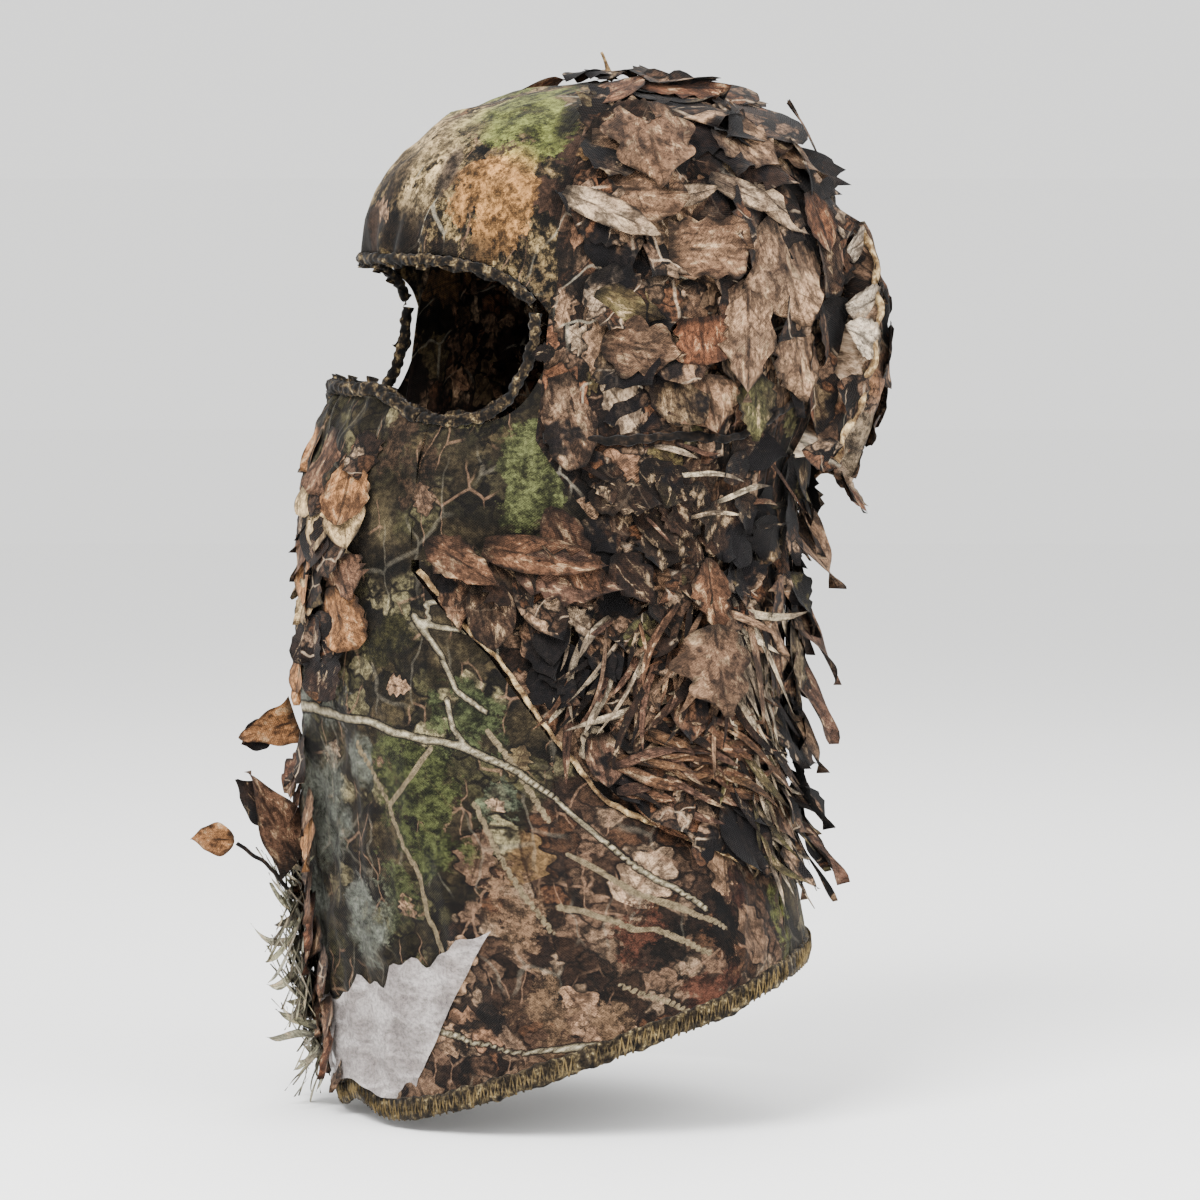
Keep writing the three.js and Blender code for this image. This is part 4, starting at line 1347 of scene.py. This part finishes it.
class LeafBatch:
    """Many leaves gathered into one mesh."""

    def __init__(self, steps=13, across=4):
        self.steps = steps
        self.across = across
        self.points = []
        self.prints = []
        self.marks = []
        self.area = 0.0

    def shape(self, length, width, kind, tint, whole, seed, rise=0.1, curl=0.1, fold=0.0, bend=0.08):
        """A leaf lying flat: x from stem to tip, y across, and its height off the flat."""
        along, across = np.meshgrid(
            np.linspace(0, 1, self.steps + 1), np.linspace(-1, 1, self.across + 1), indexing="ij"
        )
        half = outline(kind, along, seed) * width / 2
        x = along * length
        y = across * half + bend * length * np.sin(along * 2.2 + seed) * along
        height = length * (rise * along + curl * along**2) + fold * np.abs(across) * half
        height = height + 0.12 * width * np.sin(along * 5 + seed) * across * along
        drift = np.array([math.sin(seed * 12.9) * 3, math.cos(seed * 7.7) * 3])
        self.prints.append((np.stack([x, y], -1) + drift).reshape(-1, 2))
        mark = np.stack([np.full_like(x, tint), along, across * 0.5 + 0.5, np.full_like(x, float(whole))], -1)
        self.marks.append(mark.reshape(-1, 4))
        self.area += float(np.sum(2 * half[:-1, 0]) * length / self.steps)
        return x, y, height

    def sew(self, angle, level, turn, length, width, kind, tint, whole=1, seed=0.0, lift=0.0025, **form):
        """A leaf sewn on the cloth. turn is 0 with the tip down and rises towards the wearer's left."""
        x, y, height = self.shape(length, width, kind, tint, whole, seed, **form)
        heading = math.radians(turn)
        down = x * math.cos(heading) - y * math.sin(heading)
        round_head = x * math.sin(heading) + y * math.cos(heading)
        per_degree, per_level = (float(np.linalg.norm(step)) for step in cloth_steps(angle, level))
        across = angle + round_head / max(per_degree, 0.0004)
        self.points.append(cloth(across, level - down / per_level, lift + height).reshape(-1, 3))

    def hang(self, stem, tip, out, width, kind, tint, whole=1, seed=0.0, **form):
        """A loose leaf from one point to another, facing out."""
        stem, tip, out = (np.array(v, float) for v in (stem, tip, out))
        toward = tip - stem
        x, y, height = self.shape(np.linalg.norm(toward), width, kind, tint, whole, seed, **form)
        toward = toward / np.linalg.norm(toward)
        side = unit(np.cross(out, toward))
        face = np.cross(toward, side)
        points = stem + x[..., None] * toward + y[..., None] * side + height[..., None] * face
        self.points.append(points.reshape(-1, 3))

    def finish(self, name, material):
        size = (self.steps + 1) * (self.across + 1)
        faces = []
        for k in range(len(self.points)):
            faces += grid_faces(self.across, self.steps, k * size)
        marks = {"leaf": np.concatenate(self.marks)}
        return build(name, np.concatenate(self.points), faces, material, np.concatenate(self.prints), marks)


def finish_leaves(batch, name, material, body, slot, nodes, row_length):
    """Leaves cut from one strip as long as their row; the strip's depth follows from the leaves' area."""
    obj = put(batch.finish(name, material), body, slot, *nodes)
    depth = max(0.012, batch.area / row_length / 0.8)
    0.8 * row_length * depth
    return obj


NEAR_SEAM = 78  # in front of this angle the leaves point back, clear of the brow and the face


def scatter(batch, seed, ends, top, foot, rows, per_row, length, width, kinds, whole=0.5, spread=35, **form):
    """Staggered rows of leaves between two angles, from a top line down to a foot line."""
    rng = np.random.default_rng(seed)
    rise, curl, lift = form.get("rise", 0.1), form.get("curl", 0.1), form.get("lift", 0.0022)
    low, high = form.get("tints", (0, 1))
    for r in range(rows):
        for c in range(per_row):
            s = (c + 0.5 * (r % 2) + rng.uniform(0.05, 0.75)) / (per_row + 0.5)
            angle = ends[0] + (ends[1] - ends[0]) * s
            level = top(angle) + (foot(angle) - top(angle)) * (r + 0.5) / rows + rng.uniform(-0.004, 0.004)
            turn = rng.normal(0, spread)
            if abs(angle) < NEAR_SEAM:
                turn = abs(turn) * np.sign(angle)
            batch.sew(
                angle,
                level,
                turn,
                length * rng.uniform(0.65, 1.3),
                width * rng.uniform(0.65, 1.3),
                kinds[rng.integers(len(kinds))],
                rng.uniform(low, high),
                0.85 * (rng.uniform() < whole),
                rng.uniform(0, 9),
                lift * rng.uniform(0.7, 1.4),
                rise=rise * rng.uniform(0.2, 1.6),
                curl=curl * rng.uniform(-0.5, 1.6),
                fold=rng.uniform(-0.45, 0.5),
            )


def sided(ends, side):
    """A range of angles, or its mirror image on the wearer's right."""
    return ends if side > 0 else (-ends[1], -ends[0])


def sew_heroes(batch, heroes, side, seed_step, lift, folds, **form):
    """Leaves placed one by one, mirrored on the wearer's right."""
    for k, (angle, level, turn, length, width, kind, tint) in enumerate(heroes):
        seed = k * seed_step[0] + seed_step[1]
        form["fold"] = folds[k % len(folds)]
        batch.sew(side * angle, level, side * turn, length, width, kind, tint, 1, seed, lift, **form)


# Leaves placed one by one on the cap: angle, level, turn, length, width, kind, tint.
CAP_HEROES = {
    "upper": [
        (66, -0.030, 92, 0.038, 0.034, "round", 0.14),
        (64, -0.008, 120, 0.030, 0.016, "blade", 0.64),
        (86, 0.006, 70, 0.036, 0.018, "ragged", 0.66),
        (104, -0.022, 40, 0.030, 0.024, "ragged", 0.06),
        (126, -0.026, 30, 0.028, 0.020, "oak", 0.10),
    ],
    "middle": [
        (70, -0.050, 84, 0.032, 0.026, "round", 0.22),
        (60, -0.052, 66, 0.040, 0.012, "blade", 0.52),
        (78, -0.056, 100, 0.034, 0.009, "blade", 0.52),
        (96, -0.046, 62, 0.032, 0.010, "blade", 0.50),
        (108, -0.050, 50, 0.030, 0.012, "blade", 0.53),
        (84, -0.072, 92, 0.036, 0.028, "block", 0.20),
        (112, -0.060, 14, 0.050, 0.044, "oak", 0.02),
        (128, -0.052, 10, 0.024, 0.018, "round", 0.67),
    ],
    "lower": [
        (104, -0.082, -6, 0.052, 0.030, "oak", 0.08),
        (91, -0.098, 4, 0.020, 0.024, "block", 0.66),
        (68, -0.088, 70, 0.030, 0.016, "ragged", 0.76),
        (70, -0.108, 80, 0.034, 0.026, "oak", 0.18),
        (92, -0.122, 10, 0.026, 0.032, "ragged", 0.16),
        (106, -0.122, 4, 0.028, 0.022, "ragged", 0.78),
        (118, -0.100, 12, 0.034, 0.028, "ragged", 0.04),
        (60.5, -0.112, -84, 0.010, 0.008, "ragged", 0.30),
    ],
}


def above_cap_edge(angle):
    return cap_edge(np.abs(angle)) + 0.012


def add_cap_leaves():
    form = dict(kinds=("oak", "ragged", "round"), whole=0.22, rise=0.07, curl=0.14, lift=0.0018)
    # The rows: name, angles, top line, foot line, rows of leaves, leaves in each, and the row's length.
    plan = [
        ("upper", (68, 152), level_line(0.018), level_line(-0.022), 3, 5, 0.11),
        ("middle", (61, 153), level_line(-0.022), level_line(-0.072), 3, 7, 0.15),
        ("lower", (60, 140), level_line(-0.070), above_cap_edge, 3, 6, 0.13),
    ]
    for side, name in SIDES:
        for row, ends, top, foot, rows, per_row, long in plan:
            batch = LeafBatch(16, 6)
            where = (sided(ends, side), top, foot, rows, per_row)
            scatter(batch, 50 + side + per_row, *where, 0.036, 0.029, **form)
            seeds = (1.7, 0.4 if side < 0 else 0)
            up = dict(rise=0.07, curl=0.05, bend=0.03)
            sew_heroes(batch, CAP_HEROES[row], side, seeds, 0.0048, (-0.08, 0.12), **up)
            nodes = [f"crown_leaf_row_{row}_{name}"]
            finish_leaves(batch, f"crown_leaves_{row}_{name}", CAP_LEAF, "hood", "crown_leaf", nodes, long)
    add_tuft()
    tip = LeafBatch()
    for turn, tint, width in ((174, 0.34, 0.010), (186, 0.2, 0.006), (166, 0.9, 0.005)):
        tip.sew(158, -0.042, turn, 0.028, width, "blade", tint, 1, tint * 9, 0.003, rise=0.25, curl=0.1)
    finish_leaves(tip, "crown_standing_tip", CAP_LEAF, "hood", "elastic_edge", ["crown_leaf_tip"], 0.03)


def add_tuft():
    """The knot at the top of the crown, with short leaves lying out from it and a thin stem."""
    batch = LeafBatch()
    rng = np.random.default_rng(8)
    for k in range(9):
        turn = math.radians(40 * k + rng.uniform(-12, 12))
        away = np.array([math.sin(turn), -math.cos(turn), 0])
        stem = away * 0.002 + np.array([0, 0, 0.0052])
        tip = away * rng.uniform(0.014, 0.021) + np.array([0, 0, rng.uniform(0.0025, 0.0055)])
        batch.hang(stem, tip, (0, 0, 1), 0.015, "round", rng.uniform(), 0, 2.0 * k, rise=0.30, curl=-0.35)
    finish_leaves(batch, "crown_knot_leaves", CAP_LEAF, "hood", "crown_leaf", ["crown_tuft"], 0.06)
    foot, tip = 0.002, 0.0135
    height = np.linspace(foot, tip, 24)
    lean = ((height - foot) / (tip - foot)) ** 2
    centres = np.stack([0.0015 * lean, -0.004 * lean, height], -1)
    outs = np.repeat([[1.0, 0, 0]], len(height), 0)

    def taper(along, turn):
        return 0.0006 + 0.0042 * np.exp(-along / 0.0022) * (1 + 0.2 * np.sin(3 * turn + along * 900))

    put(build("crown_knot", *sweep(centres, outs, taper, 10), TWIG_EDGE), "hood", "crown_leaf", "crown_tuft")


def needles(batch, seed, count, ends, top, foot, length, width, turn, spread, tints, lift=0.004, rise=0.12):
    """Thin strips and twigs scattered over the leaves."""
    rng = np.random.default_rng(seed)
    for _ in range(count):
        angle = rng.uniform(*ends)
        level = rng.uniform(foot(angle), top(angle))
        form = dict(rise=rise * rng.uniform(0.1, 1.6), curl=rng.uniform(-0.1, 0.16))
        form["bend"] = rng.uniform(0.05, 0.22)
        size = (length * rng.uniform(0.5, 1.4), width * rng.uniform(0.6, 1.5))
        tint = tints[rng.integers(len(tints))] + rng.uniform(-0.03, 0.03)
        heading = turn + rng.normal(0, spread)
        seed, above = rng.uniform(0, 9), lift * rng.uniform(0.6, 1.6)
        batch.sew(angle, level, heading, *size, "blade", tint, 1, seed, above, **form)


JAW_HEROES = [
    (50, -0.192, 78, 0.046, 0.016, "blade", 0.60),
    (38, -0.190, 60, 0.034, 0.016, "ragged", 0.58),
    (62, -0.176, 28, 0.044, 0.018, "ragged", 0.60),
    (56, -0.200, 74, 0.042, 0.022, "ragged", 0.04),
    (74, -0.196, 40, 0.026, 0.018, "oak", 0.20),
    (93, -0.198, 4, 0.034, 0.013, "ragged", 0.60),
]
# The same, and how far the leaf stands off the cloth.
BACK_HEROES = [
    (140, -0.186, 24, 0.034, 0.034, "flap", 0.44, 0.75),
    (146, -0.226, 30, 0.032, 0.028, "flap", 0.0, 0.85),
    (140, -0.248, 24, 0.036, 0.030, "flap", 0.02, 0.75),
    (140, -0.266, 10, 0.030, 0.026, "flap", 0.42, 0.7),
    (144, -0.302, 40, 0.028, 0.014, "flap", 0.0, 0.85),
    (142, -0.316, 16, 0.030, 0.026, "flap", 0.0, 0.7),
]


# Needles over the cape's rows: seed, count, angles, length, width, turn, spread, tints, own foot level.
CAPE_NEEDLES = {
    "neck_leaves": [(80, 10, (64, 118), 0.034, 0.0022, 75, 35, (0.02, 0.2, 0.6, 0.88), None)],
    "cape_leaves_upper": [
        (82, 46, (66, 92), 0.034, 0.0026, -28, 16, (0.88, 0.92, 0.42, 0.02, 0.2, 0.6, 0.2), None),
        (84, 70, (92, 118), 0.038, 0.0030, 12, 22, (0.88, 0.2, 0.42, 0.9), None),
    ],
    "cape_leaves_lower": [
        (86, 110, (72, 98), 0.026, 0.0036, 78, 14, (0.6, 0.62, 0.2, 0.04), -0.296),
        (88, 60, (98, 118), 0.032, 0.0028, 30, 30, (0.9, 0.75, 0.2), None),
    ],
}


def add_cape_leaves():
    form = dict(kinds=("ragged", "oak", "blade"), rise=0.10, curl=0.14, lift=0.0022)
    mixed = dict(whole=0.35, tints=(0, 1))
    dark = dict(whole=0.95, tints=(0.19, 0.28))
    # The rows: name, node, first angle, top level, foot line, rows of leaves, leaves in each, length, looks.
    plan = [
        ("jaw_leaves", "jaw_leaf_row", 42, -0.196, level_line(-0.212), 2, 11, 0.15, mixed),
        ("neck_leaves", "neck_leaf_row", 64, -0.150, level_line(-0.190), 3, 7, 0.09, dark),
        ("cape_leaves_upper", "cape_leaf_row_upper", 56, -0.214, level_line(-0.252), 3, 8, 0.11, mixed),
        ("cape_leaves_lower", "cape_leaf_row_lower", 66, -0.262, above_cape_edge(0.016), 3, 8, 0.10, mixed),
    ]
    for side, name in SIDES:
        for k, (label, node, start, top, foot, rows, per_row, long, looks) in enumerate(plan):
            batch = LeafBatch(13, 4)
            where = (sided((start, 118), side), level_line(top), foot, rows, per_row)
            scatter(batch, 70 + side + 5 * k, *where, 0.026, 0.018, **form, **looks)
            if label == "jaw_leaves":
                up = dict(rise=0.10, curl=0.08, bend=0.05)
                sew_heroes(batch, JAW_HEROES, side, (2.1, 0), 0.005, (0.35,), **up)
            for seed, count, across, length, width, turn, spread, tints, low in CAPE_NEEDLES.get(label, ()):
                where = (sided(across, side), level_line(top), foot if low is None else level_line(low))
                needles(batch, seed + side, count, *where, length, width, side * turn, spread, tints)
            finish_leaves(batch, f"{label}_{name}", CAPE_LEAF, "hood", "cape_leaf", [f"{node}_{name}"], long)
    add_cape_back_leaves()


def add_cape_back_leaves():
    # The rows: name, node, top level, foot level and length.
    rows = [
        ("nape_leaves", "nape_leaf_row", -0.150, -0.192, 0.15),
        ("cape_back_leaves_upper", "cape_back_row_upper", -0.200, -0.238, 0.15),
        ("cape_back_leaves_middle", "cape_back_row_middle", -0.242, -0.280, 0.14),
        ("cape_back_leaves_lower", "cape_back_row_lower", -0.284, -0.326, 0.14),
    ]
    ends = (118, 242)
    form = dict(kinds=("ragged", "oak", "flap"), whole=0.4, rise=0.24, curl=0.10, lift=0.0045)
    for k, (label, node, top, foot, long) in enumerate(rows):
        batch = LeafBatch(13, 4)
        lines = (level_line(top), level_line(foot))
        scatter(batch, 110 + k, ends, *lines, 3, 10, 0.030, 0.020, **form)
        needles(batch, 120 + k, 60, ends, *lines, 0.022, 0.0036, 10, 50, (0.88, 0.42, 0.2, 0.75), 0.003, 0.02)
        for n, (angle, level, turn, length, width, kind, tint, rise) in enumerate(BACK_HEROES):
            if foot - 0.006 < level <= top + 0.010:
                up = dict(rise=rise, curl=-0.15, fold=0.45, bend=0.12)
                for side, at in ((1, angle), (-1, 360 - angle)):
                    batch.sew(at, level, side * turn, length, width, kind, tint, 1, n * 1.9, 0.003, **up)
        finish_leaves(batch, label, CAPE_LEAF, "hood", "cape_leaf", [node], long)


def add_flaps():
    """The large loose leaves on the cap and the cape, each on its own hinge."""
    for side, name in SIDES:
        for place, level, angle, lift, size, tint, material, body in (
            ("crown", -0.014, 80, 0.009, (0.040, 0.032), 0.2, CAP_LEAF, f"crown_leaf_{name[0]}"),
            ("cape", -0.226, 92, 0.012, (0.040, 0.026), 0.42, CAPE_LEAF, f"cape_leaf_{name[0]}"),
        ):
            batch = LeafBatch(24, 10)
            form = dict(rise=0.04, curl=0.04, fold=0.10, bend=0.03)
            batch.sew(side * angle, level, side * 6, *size, "oak", tint, 1, 2.0 + side, lift, **form)
            label, nodes = f"{place}_loose_leaf_{name}", [f"{place}_flap_{name}"]
            finish_leaves(batch, label, material, body, f"{place}_leaf", nodes, size[0])


# ---- Ruffle ----
def ruffle_place(s, t):
    """A pillow-like band: its sides turn in towards the cap."""
    front = 128 + (BACK_SEAM - 130) * t
    foot = -0.160 + 0.005 * np.sin(s * 24) + 0.003 * np.sin(s * 61 + 1)
    level = foot + (-0.064 - foot) * t
    crown = 0.008 + 0.012 * (1 - t**4)
    side = np.clip(np.minimum(s, 1 - s) / 0.10, 0, 1)
    return front + (360 - 2 * front) * s, level, 0.0035 + (crown - 0.0035) * np.sin(side * math.pi / 2) ** 0.7


def add_ruffle():
    def puff(points, s, t):
        open_edge = np.clip(1.1 - t, 0, 1)
        waves = 0.0028 * np.sin(s * 38 + 2 * np.sin(t * 5)) * (0.35 + open_edge)
        return (waves + 0.0034 * crumple(points, 0.026, 61)) * np.clip(np.minimum(s, 1 - s) * 12, 0.15, 1)

    cut = (RUFFLE_CLOTH, wall_print)
    band = sheet("ruffle_cloth", ruffle_place, (0.13, 0.105), *cut, puff, RUFFLE_ZONES)
    put(band, "ruffle", "cape_leaf", "back_ruffle")
    flat_size(0.15, 0.12, share=0.85)
    add_ruffle_piping()
    add_ruffle_leaves()
    point = LeafBatch()
    for tint, width, turn in ((0.66, 0.016, 20), (0.3, 0.012, -10), (0.5, 0.008, 45)):
        point.sew(146, -0.158, turn, 0.022, width, "ragged", tint, 1, tint * 7, 0.019, rise=0.6, curl=0.1)
    finish_leaves(point, "ruffle_corner_leaf", CAP_LEAF, "ruffle", "cape_leaf", ["ruffle_point"], 0.03)


def add_ruffle_leaves():
    """Round leaves down both sides of the ruffle, and mixed ones over it."""
    rng = np.random.default_rng(77)
    batch = LeafBatch(13, 5)
    for side in (1, -1):
        for t in np.linspace(0.05, 0.95, 5):
            angle, level, lift = (float(v) for v in ruffle_place(0.075, t))
            size = (rng.uniform(0.012, 0.020), rng.uniform(0.012, 0.018))
            form = dict(lift=lift + 0.001, rise=-0.35, curl=-0.10, fold=0.25)
            tint, seed = rng.uniform(0.45, 0.56), rng.uniform(0, 9)
            at = angle if side > 0 else 360 - angle
            batch.sew(at, level, -side * rng.uniform(60, 115), *size, "round", tint, t > 0.4, seed, **form)
    for k in range(22):
        angle, level, lift = ruffle_place(rng.uniform(0.14, 0.86), rng.uniform(0.02, 0.95))
        size = (rng.uniform(0.018, 0.032), rng.uniform(0.012, 0.022))
        form = dict(rise=0.02, curl=0.06, fold=rng.uniform(-0.2, 0.2))
        kind = ("ragged", "oak", "round")[k % 3]
        turn, tint = rng.normal(0, 45), rng.uniform()
        spot = (float(angle), float(level), turn)
        batch.sew(*spot, *size, kind, tint, k % 3 == 0, k * 1.3, float(lift) + 0.0035, **form)
    finish_leaves(batch, "ruffle_leaves", RUFFLE_LEAF, "ruffle", "cape_leaf", ["back_ruffle"], 0.13)


def piping_radius(along, turn):
    return 0.0013 * (1 + 0.4 * np.sin(along * 420 + 2 * turn))


def add_ruffle_piping():
    """A lumpy corded edge down each side of the ruffle."""
    t = np.linspace(0.03, 0.97, 70)
    for side, name in SIDES:
        angle, level, lift = ruffle_place(swapped(0.05, side), t)
        centres = cloth(angle, level, lift + 0.003 + 0.0012 * np.sin(t * 31))
        outs = cloth_frame(angle, level)[2]
        piping = build(f"ruffle_piping_{name}", *sweep(centres, outs, piping_radius, 8), TWIG_EDGE)
        put(piping, "ruffle", "elastic_edge", "back_ruffle")


# ---- Front strip ----
def add_front_strip():
    rng = np.random.default_rng(31)
    upper = LeafBatch(14, 6)
    for k in range(8):
        level = -0.146 - 0.0128 * k
        reach = 16 - 0.9 * k
        for j in range(4):
            angle = -15 + (reach + 15) * j / 3 + rng.uniform(-1.5, 1.5)
            tint = (0.02, 0.5, 0.86, 0.04, 0.48, 0.88, 0.25)[(k + 3 * j) % 7]
            size = (rng.uniform(0.020, 0.029), rng.uniform(0.017, 0.025))
            form = dict(lift=0.0020 + 0.0005 * j, rise=0.06, curl=0.05, fold=rng.uniform(-0.15, 0.25))
            turn = rng.uniform(-40, 30)
            kind = ("round", "plain", "block", "ragged")[(k + j) % 4]
            upper.sew(angle, level, turn, *size, kind, tint, (k + j) % 3 > 0, k + 0.3 * j, **form)
    nodes = ["front_strip_upper"]
    strip = finish_leaves(upper, "front_leaves_upper", FRONT_LEAF, None, "front_leaf", nodes, 0.1)
    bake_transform(strip)
    lower = LeafBatch(14, 6)
    for k in range(13):
        level = -0.274 - 0.0112 * k
        for j in range(2):
            angle = -6 - 9 * j + rng.uniform(-2, 2)
            tint = (0.25, 0.7, 0.27, 0.04, 0.72)[(k + 2 * j) % 5]
            form = dict(rise=0.18, curl=0.12, fold=rng.uniform(-0.1, 0.4))
            size = (rng.uniform(0.018, 0.028), rng.uniform(0.010, 0.018))
            kind = ("ragged", "oak")[(k + j) % 2]
            turn, seed = rng.uniform(-60, 25), k * 1.1 + j
            lower.sew(angle, level, turn, *size, kind, tint, k % 4 > 0, seed, 0.0032, **form)
    finish_leaves(lower, "front_leaves_lower", FRONT_LEAF, "bib", "front_leaf", ["front_strip_lower"], 0.15)
    add_loose_front_leaves()
    add_grass()


STEM_BENDS = [
    (-0.029, -0.1605, -0.3215),
    (-0.027, -0.156, -0.3255),
    (-0.025, -0.148, -0.331),
    (-0.025, -0.139, -0.342),
]


def stem_radius(along, turn):
    return 0.0009 * (1 + 0.25 * np.sin(along * 700 + turn))


def add_loose_front_leaves():
    """Three leaves that stand off the front edge, two of them with a dark tip, and the last one's stem."""
    out = (1, 0.25, 0.15)
    # Each leaf: node, stem, tip, width, kind and tint.
    plan = [
        ("front_leaf_upper", (-0.027, -0.134, -0.270), (-0.032, -0.158, -0.279), 0.022, "flap", 0.02),
        ("front_leaf_lower", (-0.027, -0.133, -0.330), (-0.031, -0.160, -0.294), 0.030, "flap", 0.25),
        ("dangling_leaf", (-0.031, -0.161, -0.320), (-0.032, -0.181, -0.321), 0.014, "plain", 0.02),
    ]
    for node, stem, tip, width, kind, tint in plan:
        body = "front_dangle" if node == "dangling_leaf" else "bib"
        batch = LeafBatch(20, 8)
        batch.hang(stem, tip, out, width, kind, tint, 1, 3.0, rise=0.02, curl=0.10, fold=0.25)
        if body == "bib":
            start = np.array(tip) * 0.45 + np.array(stem) * 0.55
            batch.hang(start, tip, out, width * 0.62, "plain", 0.86, 1, 5.0, rise=0.08, curl=0.0, fold=0.2)
        finish_leaves(batch, node + "_cloth", FRONT_LEAF, body, "front_leaf", [node], 0.03)
    centres = smooth_line(STEM_BENDS, 30)
    outs = np.repeat([[1.0, 0, 0]], len(centres), 0)
    stem = build("front_stem_cord", *sweep(centres, outs, stem_radius, 8), DARK_EDGE)
    put(stem, "bib", "elastic_edge", "front_stem")


def smooth_line(spots, count):
    """A smooth curve through a few points."""
    spots = np.array(spots, float)
    x = np.linspace(0, len(spots) - 1, count)
    lines = np.stack([np.interp(x, np.arange(len(spots)), spots[:, i]) for i in range(3)], -1)
    for _ in range(3):
        lines[1:-1] = (lines[:-2] + 2 * lines[1:-1] + lines[2:]) / 4
    return lines


def add_grass():
    """Cut strips like grass that stand off the lower front."""
    rng = np.random.default_rng(12)
    batch = LeafBatch(10, 2)
    for _ in range(420):
        angle = rng.uniform(-33, -12)
        level = rng.uniform(-0.418, -0.332)
        heading = rng.choice([-160, -110, -60, -20]) + rng.normal(0, 22)
        size = (rng.uniform(0.014, 0.030), rng.uniform(0.0022, 0.0046))
        form = dict(rise=rng.uniform(0.1, 0.8), curl=rng.uniform(-0.6, 0.1), bend=rng.uniform(0.1, 0.5))
        tint, seed, lift = rng.uniform(), rng.uniform(0, 9), rng.uniform(0.004, 0.010)
        batch.sew(angle, level, heading, *size, "blade", tint, 1, seed, lift, **form)
    finish_leaves(batch, "front_grass_strips", GRASS, "bib", "grass_strip", ["front_grass"], 0.08)


# ---- Scene ----
AZIMUTH = 65.0
ELEVATION = 4.0
CAMERA_TARGET = Vector((0.0, -0.004, -0.221))
CAMERA_AWAY = 2.58
LIGHT_TARGET = Vector((0, 0, -0.2))
LIGHT_AWAY = 1.6
# Each lamp: name, azimuth, elevation, watts and width.
LAMPS = (
    ("key", AZIMUTH - 25, 42, 62, 0.8),
    ("fill", AZIMUTH + 50, 25, 30, 1.2),
    ("back", AZIMUTH + 170, 50, 16, 1.0),
)


def set_up(name, data, target=None, azimuth=0.0, elevation=0.0, away=0.0):
    """An object of the studio, looking at a target from an angle and a distance."""
    obj = bpy.data.objects.new(name, data)
    if target is not None:
        a, e = math.radians(azimuth), math.radians(elevation)
        toward = Vector((math.sin(a) * math.cos(e), -math.cos(a) * math.cos(e), math.sin(e)))
        obj.location = target + toward * away
        obj.rotation_euler = (-toward).to_track_quat("-Z", "Y").to_euler()
    bpy.context.scene.collection.objects.link(obj)
    return obj


def add_stage():
    """A floor that bends up into a wall well behind the object, seen from the camera."""
    floor_mesh = bpy.data.meshes.new("floor")
    half, wall = 6.0, 5.0
    low = HEM_FOOT - 0.0015
    bend = [(-half, 0), (4.0, 0), (4.6, 0.1), (5.1, 0.4), (5.4, 1.0), (5.5, wall)]
    points = [(x, y, low + z) for y, z in bend for x in (-half, half)]
    faces = [(2 * k, 2 * k + 1, 2 * k + 3, 2 * k + 2) for k in range(len(bend) - 1)]
    floor_mesh.from_pydata(points, [], faces)
    sh = Shader("pale_floor", roughness=0.9, sheen=0.0)
    sh.set(sh.surface, {"Base Color": (0.93, 0.93, 0.92, 1)})
    floor_mesh.materials.append(sh.material)
    set_up("floor", floor_mesh).rotation_euler.z = math.radians(AZIMUTH)


def add_camera():
    data = bpy.data.cameras.new("camera")
    data.lens = 180
    bpy.context.scene.camera = set_up("camera", data, CAMERA_TARGET, AZIMUTH, ELEVATION, CAMERA_AWAY)


def add_lights():
    world = bpy.data.worlds.new("studio")
    world.use_nodes = True
    background = world.node_tree.nodes["Background"]
    background.inputs[0].default_value = (1, 1, 1, 1)
    background.inputs[1].default_value = 1.45
    bpy.context.scene.world = world
    for name, azimuth, elevation, power, size in LAMPS:
        light = bpy.data.lights.new(name, "AREA")
        light.energy = power
        light.size = size
        set_up(name, light, LIGHT_TARGET, azimuth, elevation, LIGHT_AWAY)


add_cap()
add_veil()
add_neck_and_cape()
add_skirt()
add_elastics()
add_bindings()
add_hem()
add_cap_leaves()
add_cape_leaves()
add_flaps()
add_ruffle()
add_front_strip()
add_stage()
add_camera()
add_lights()
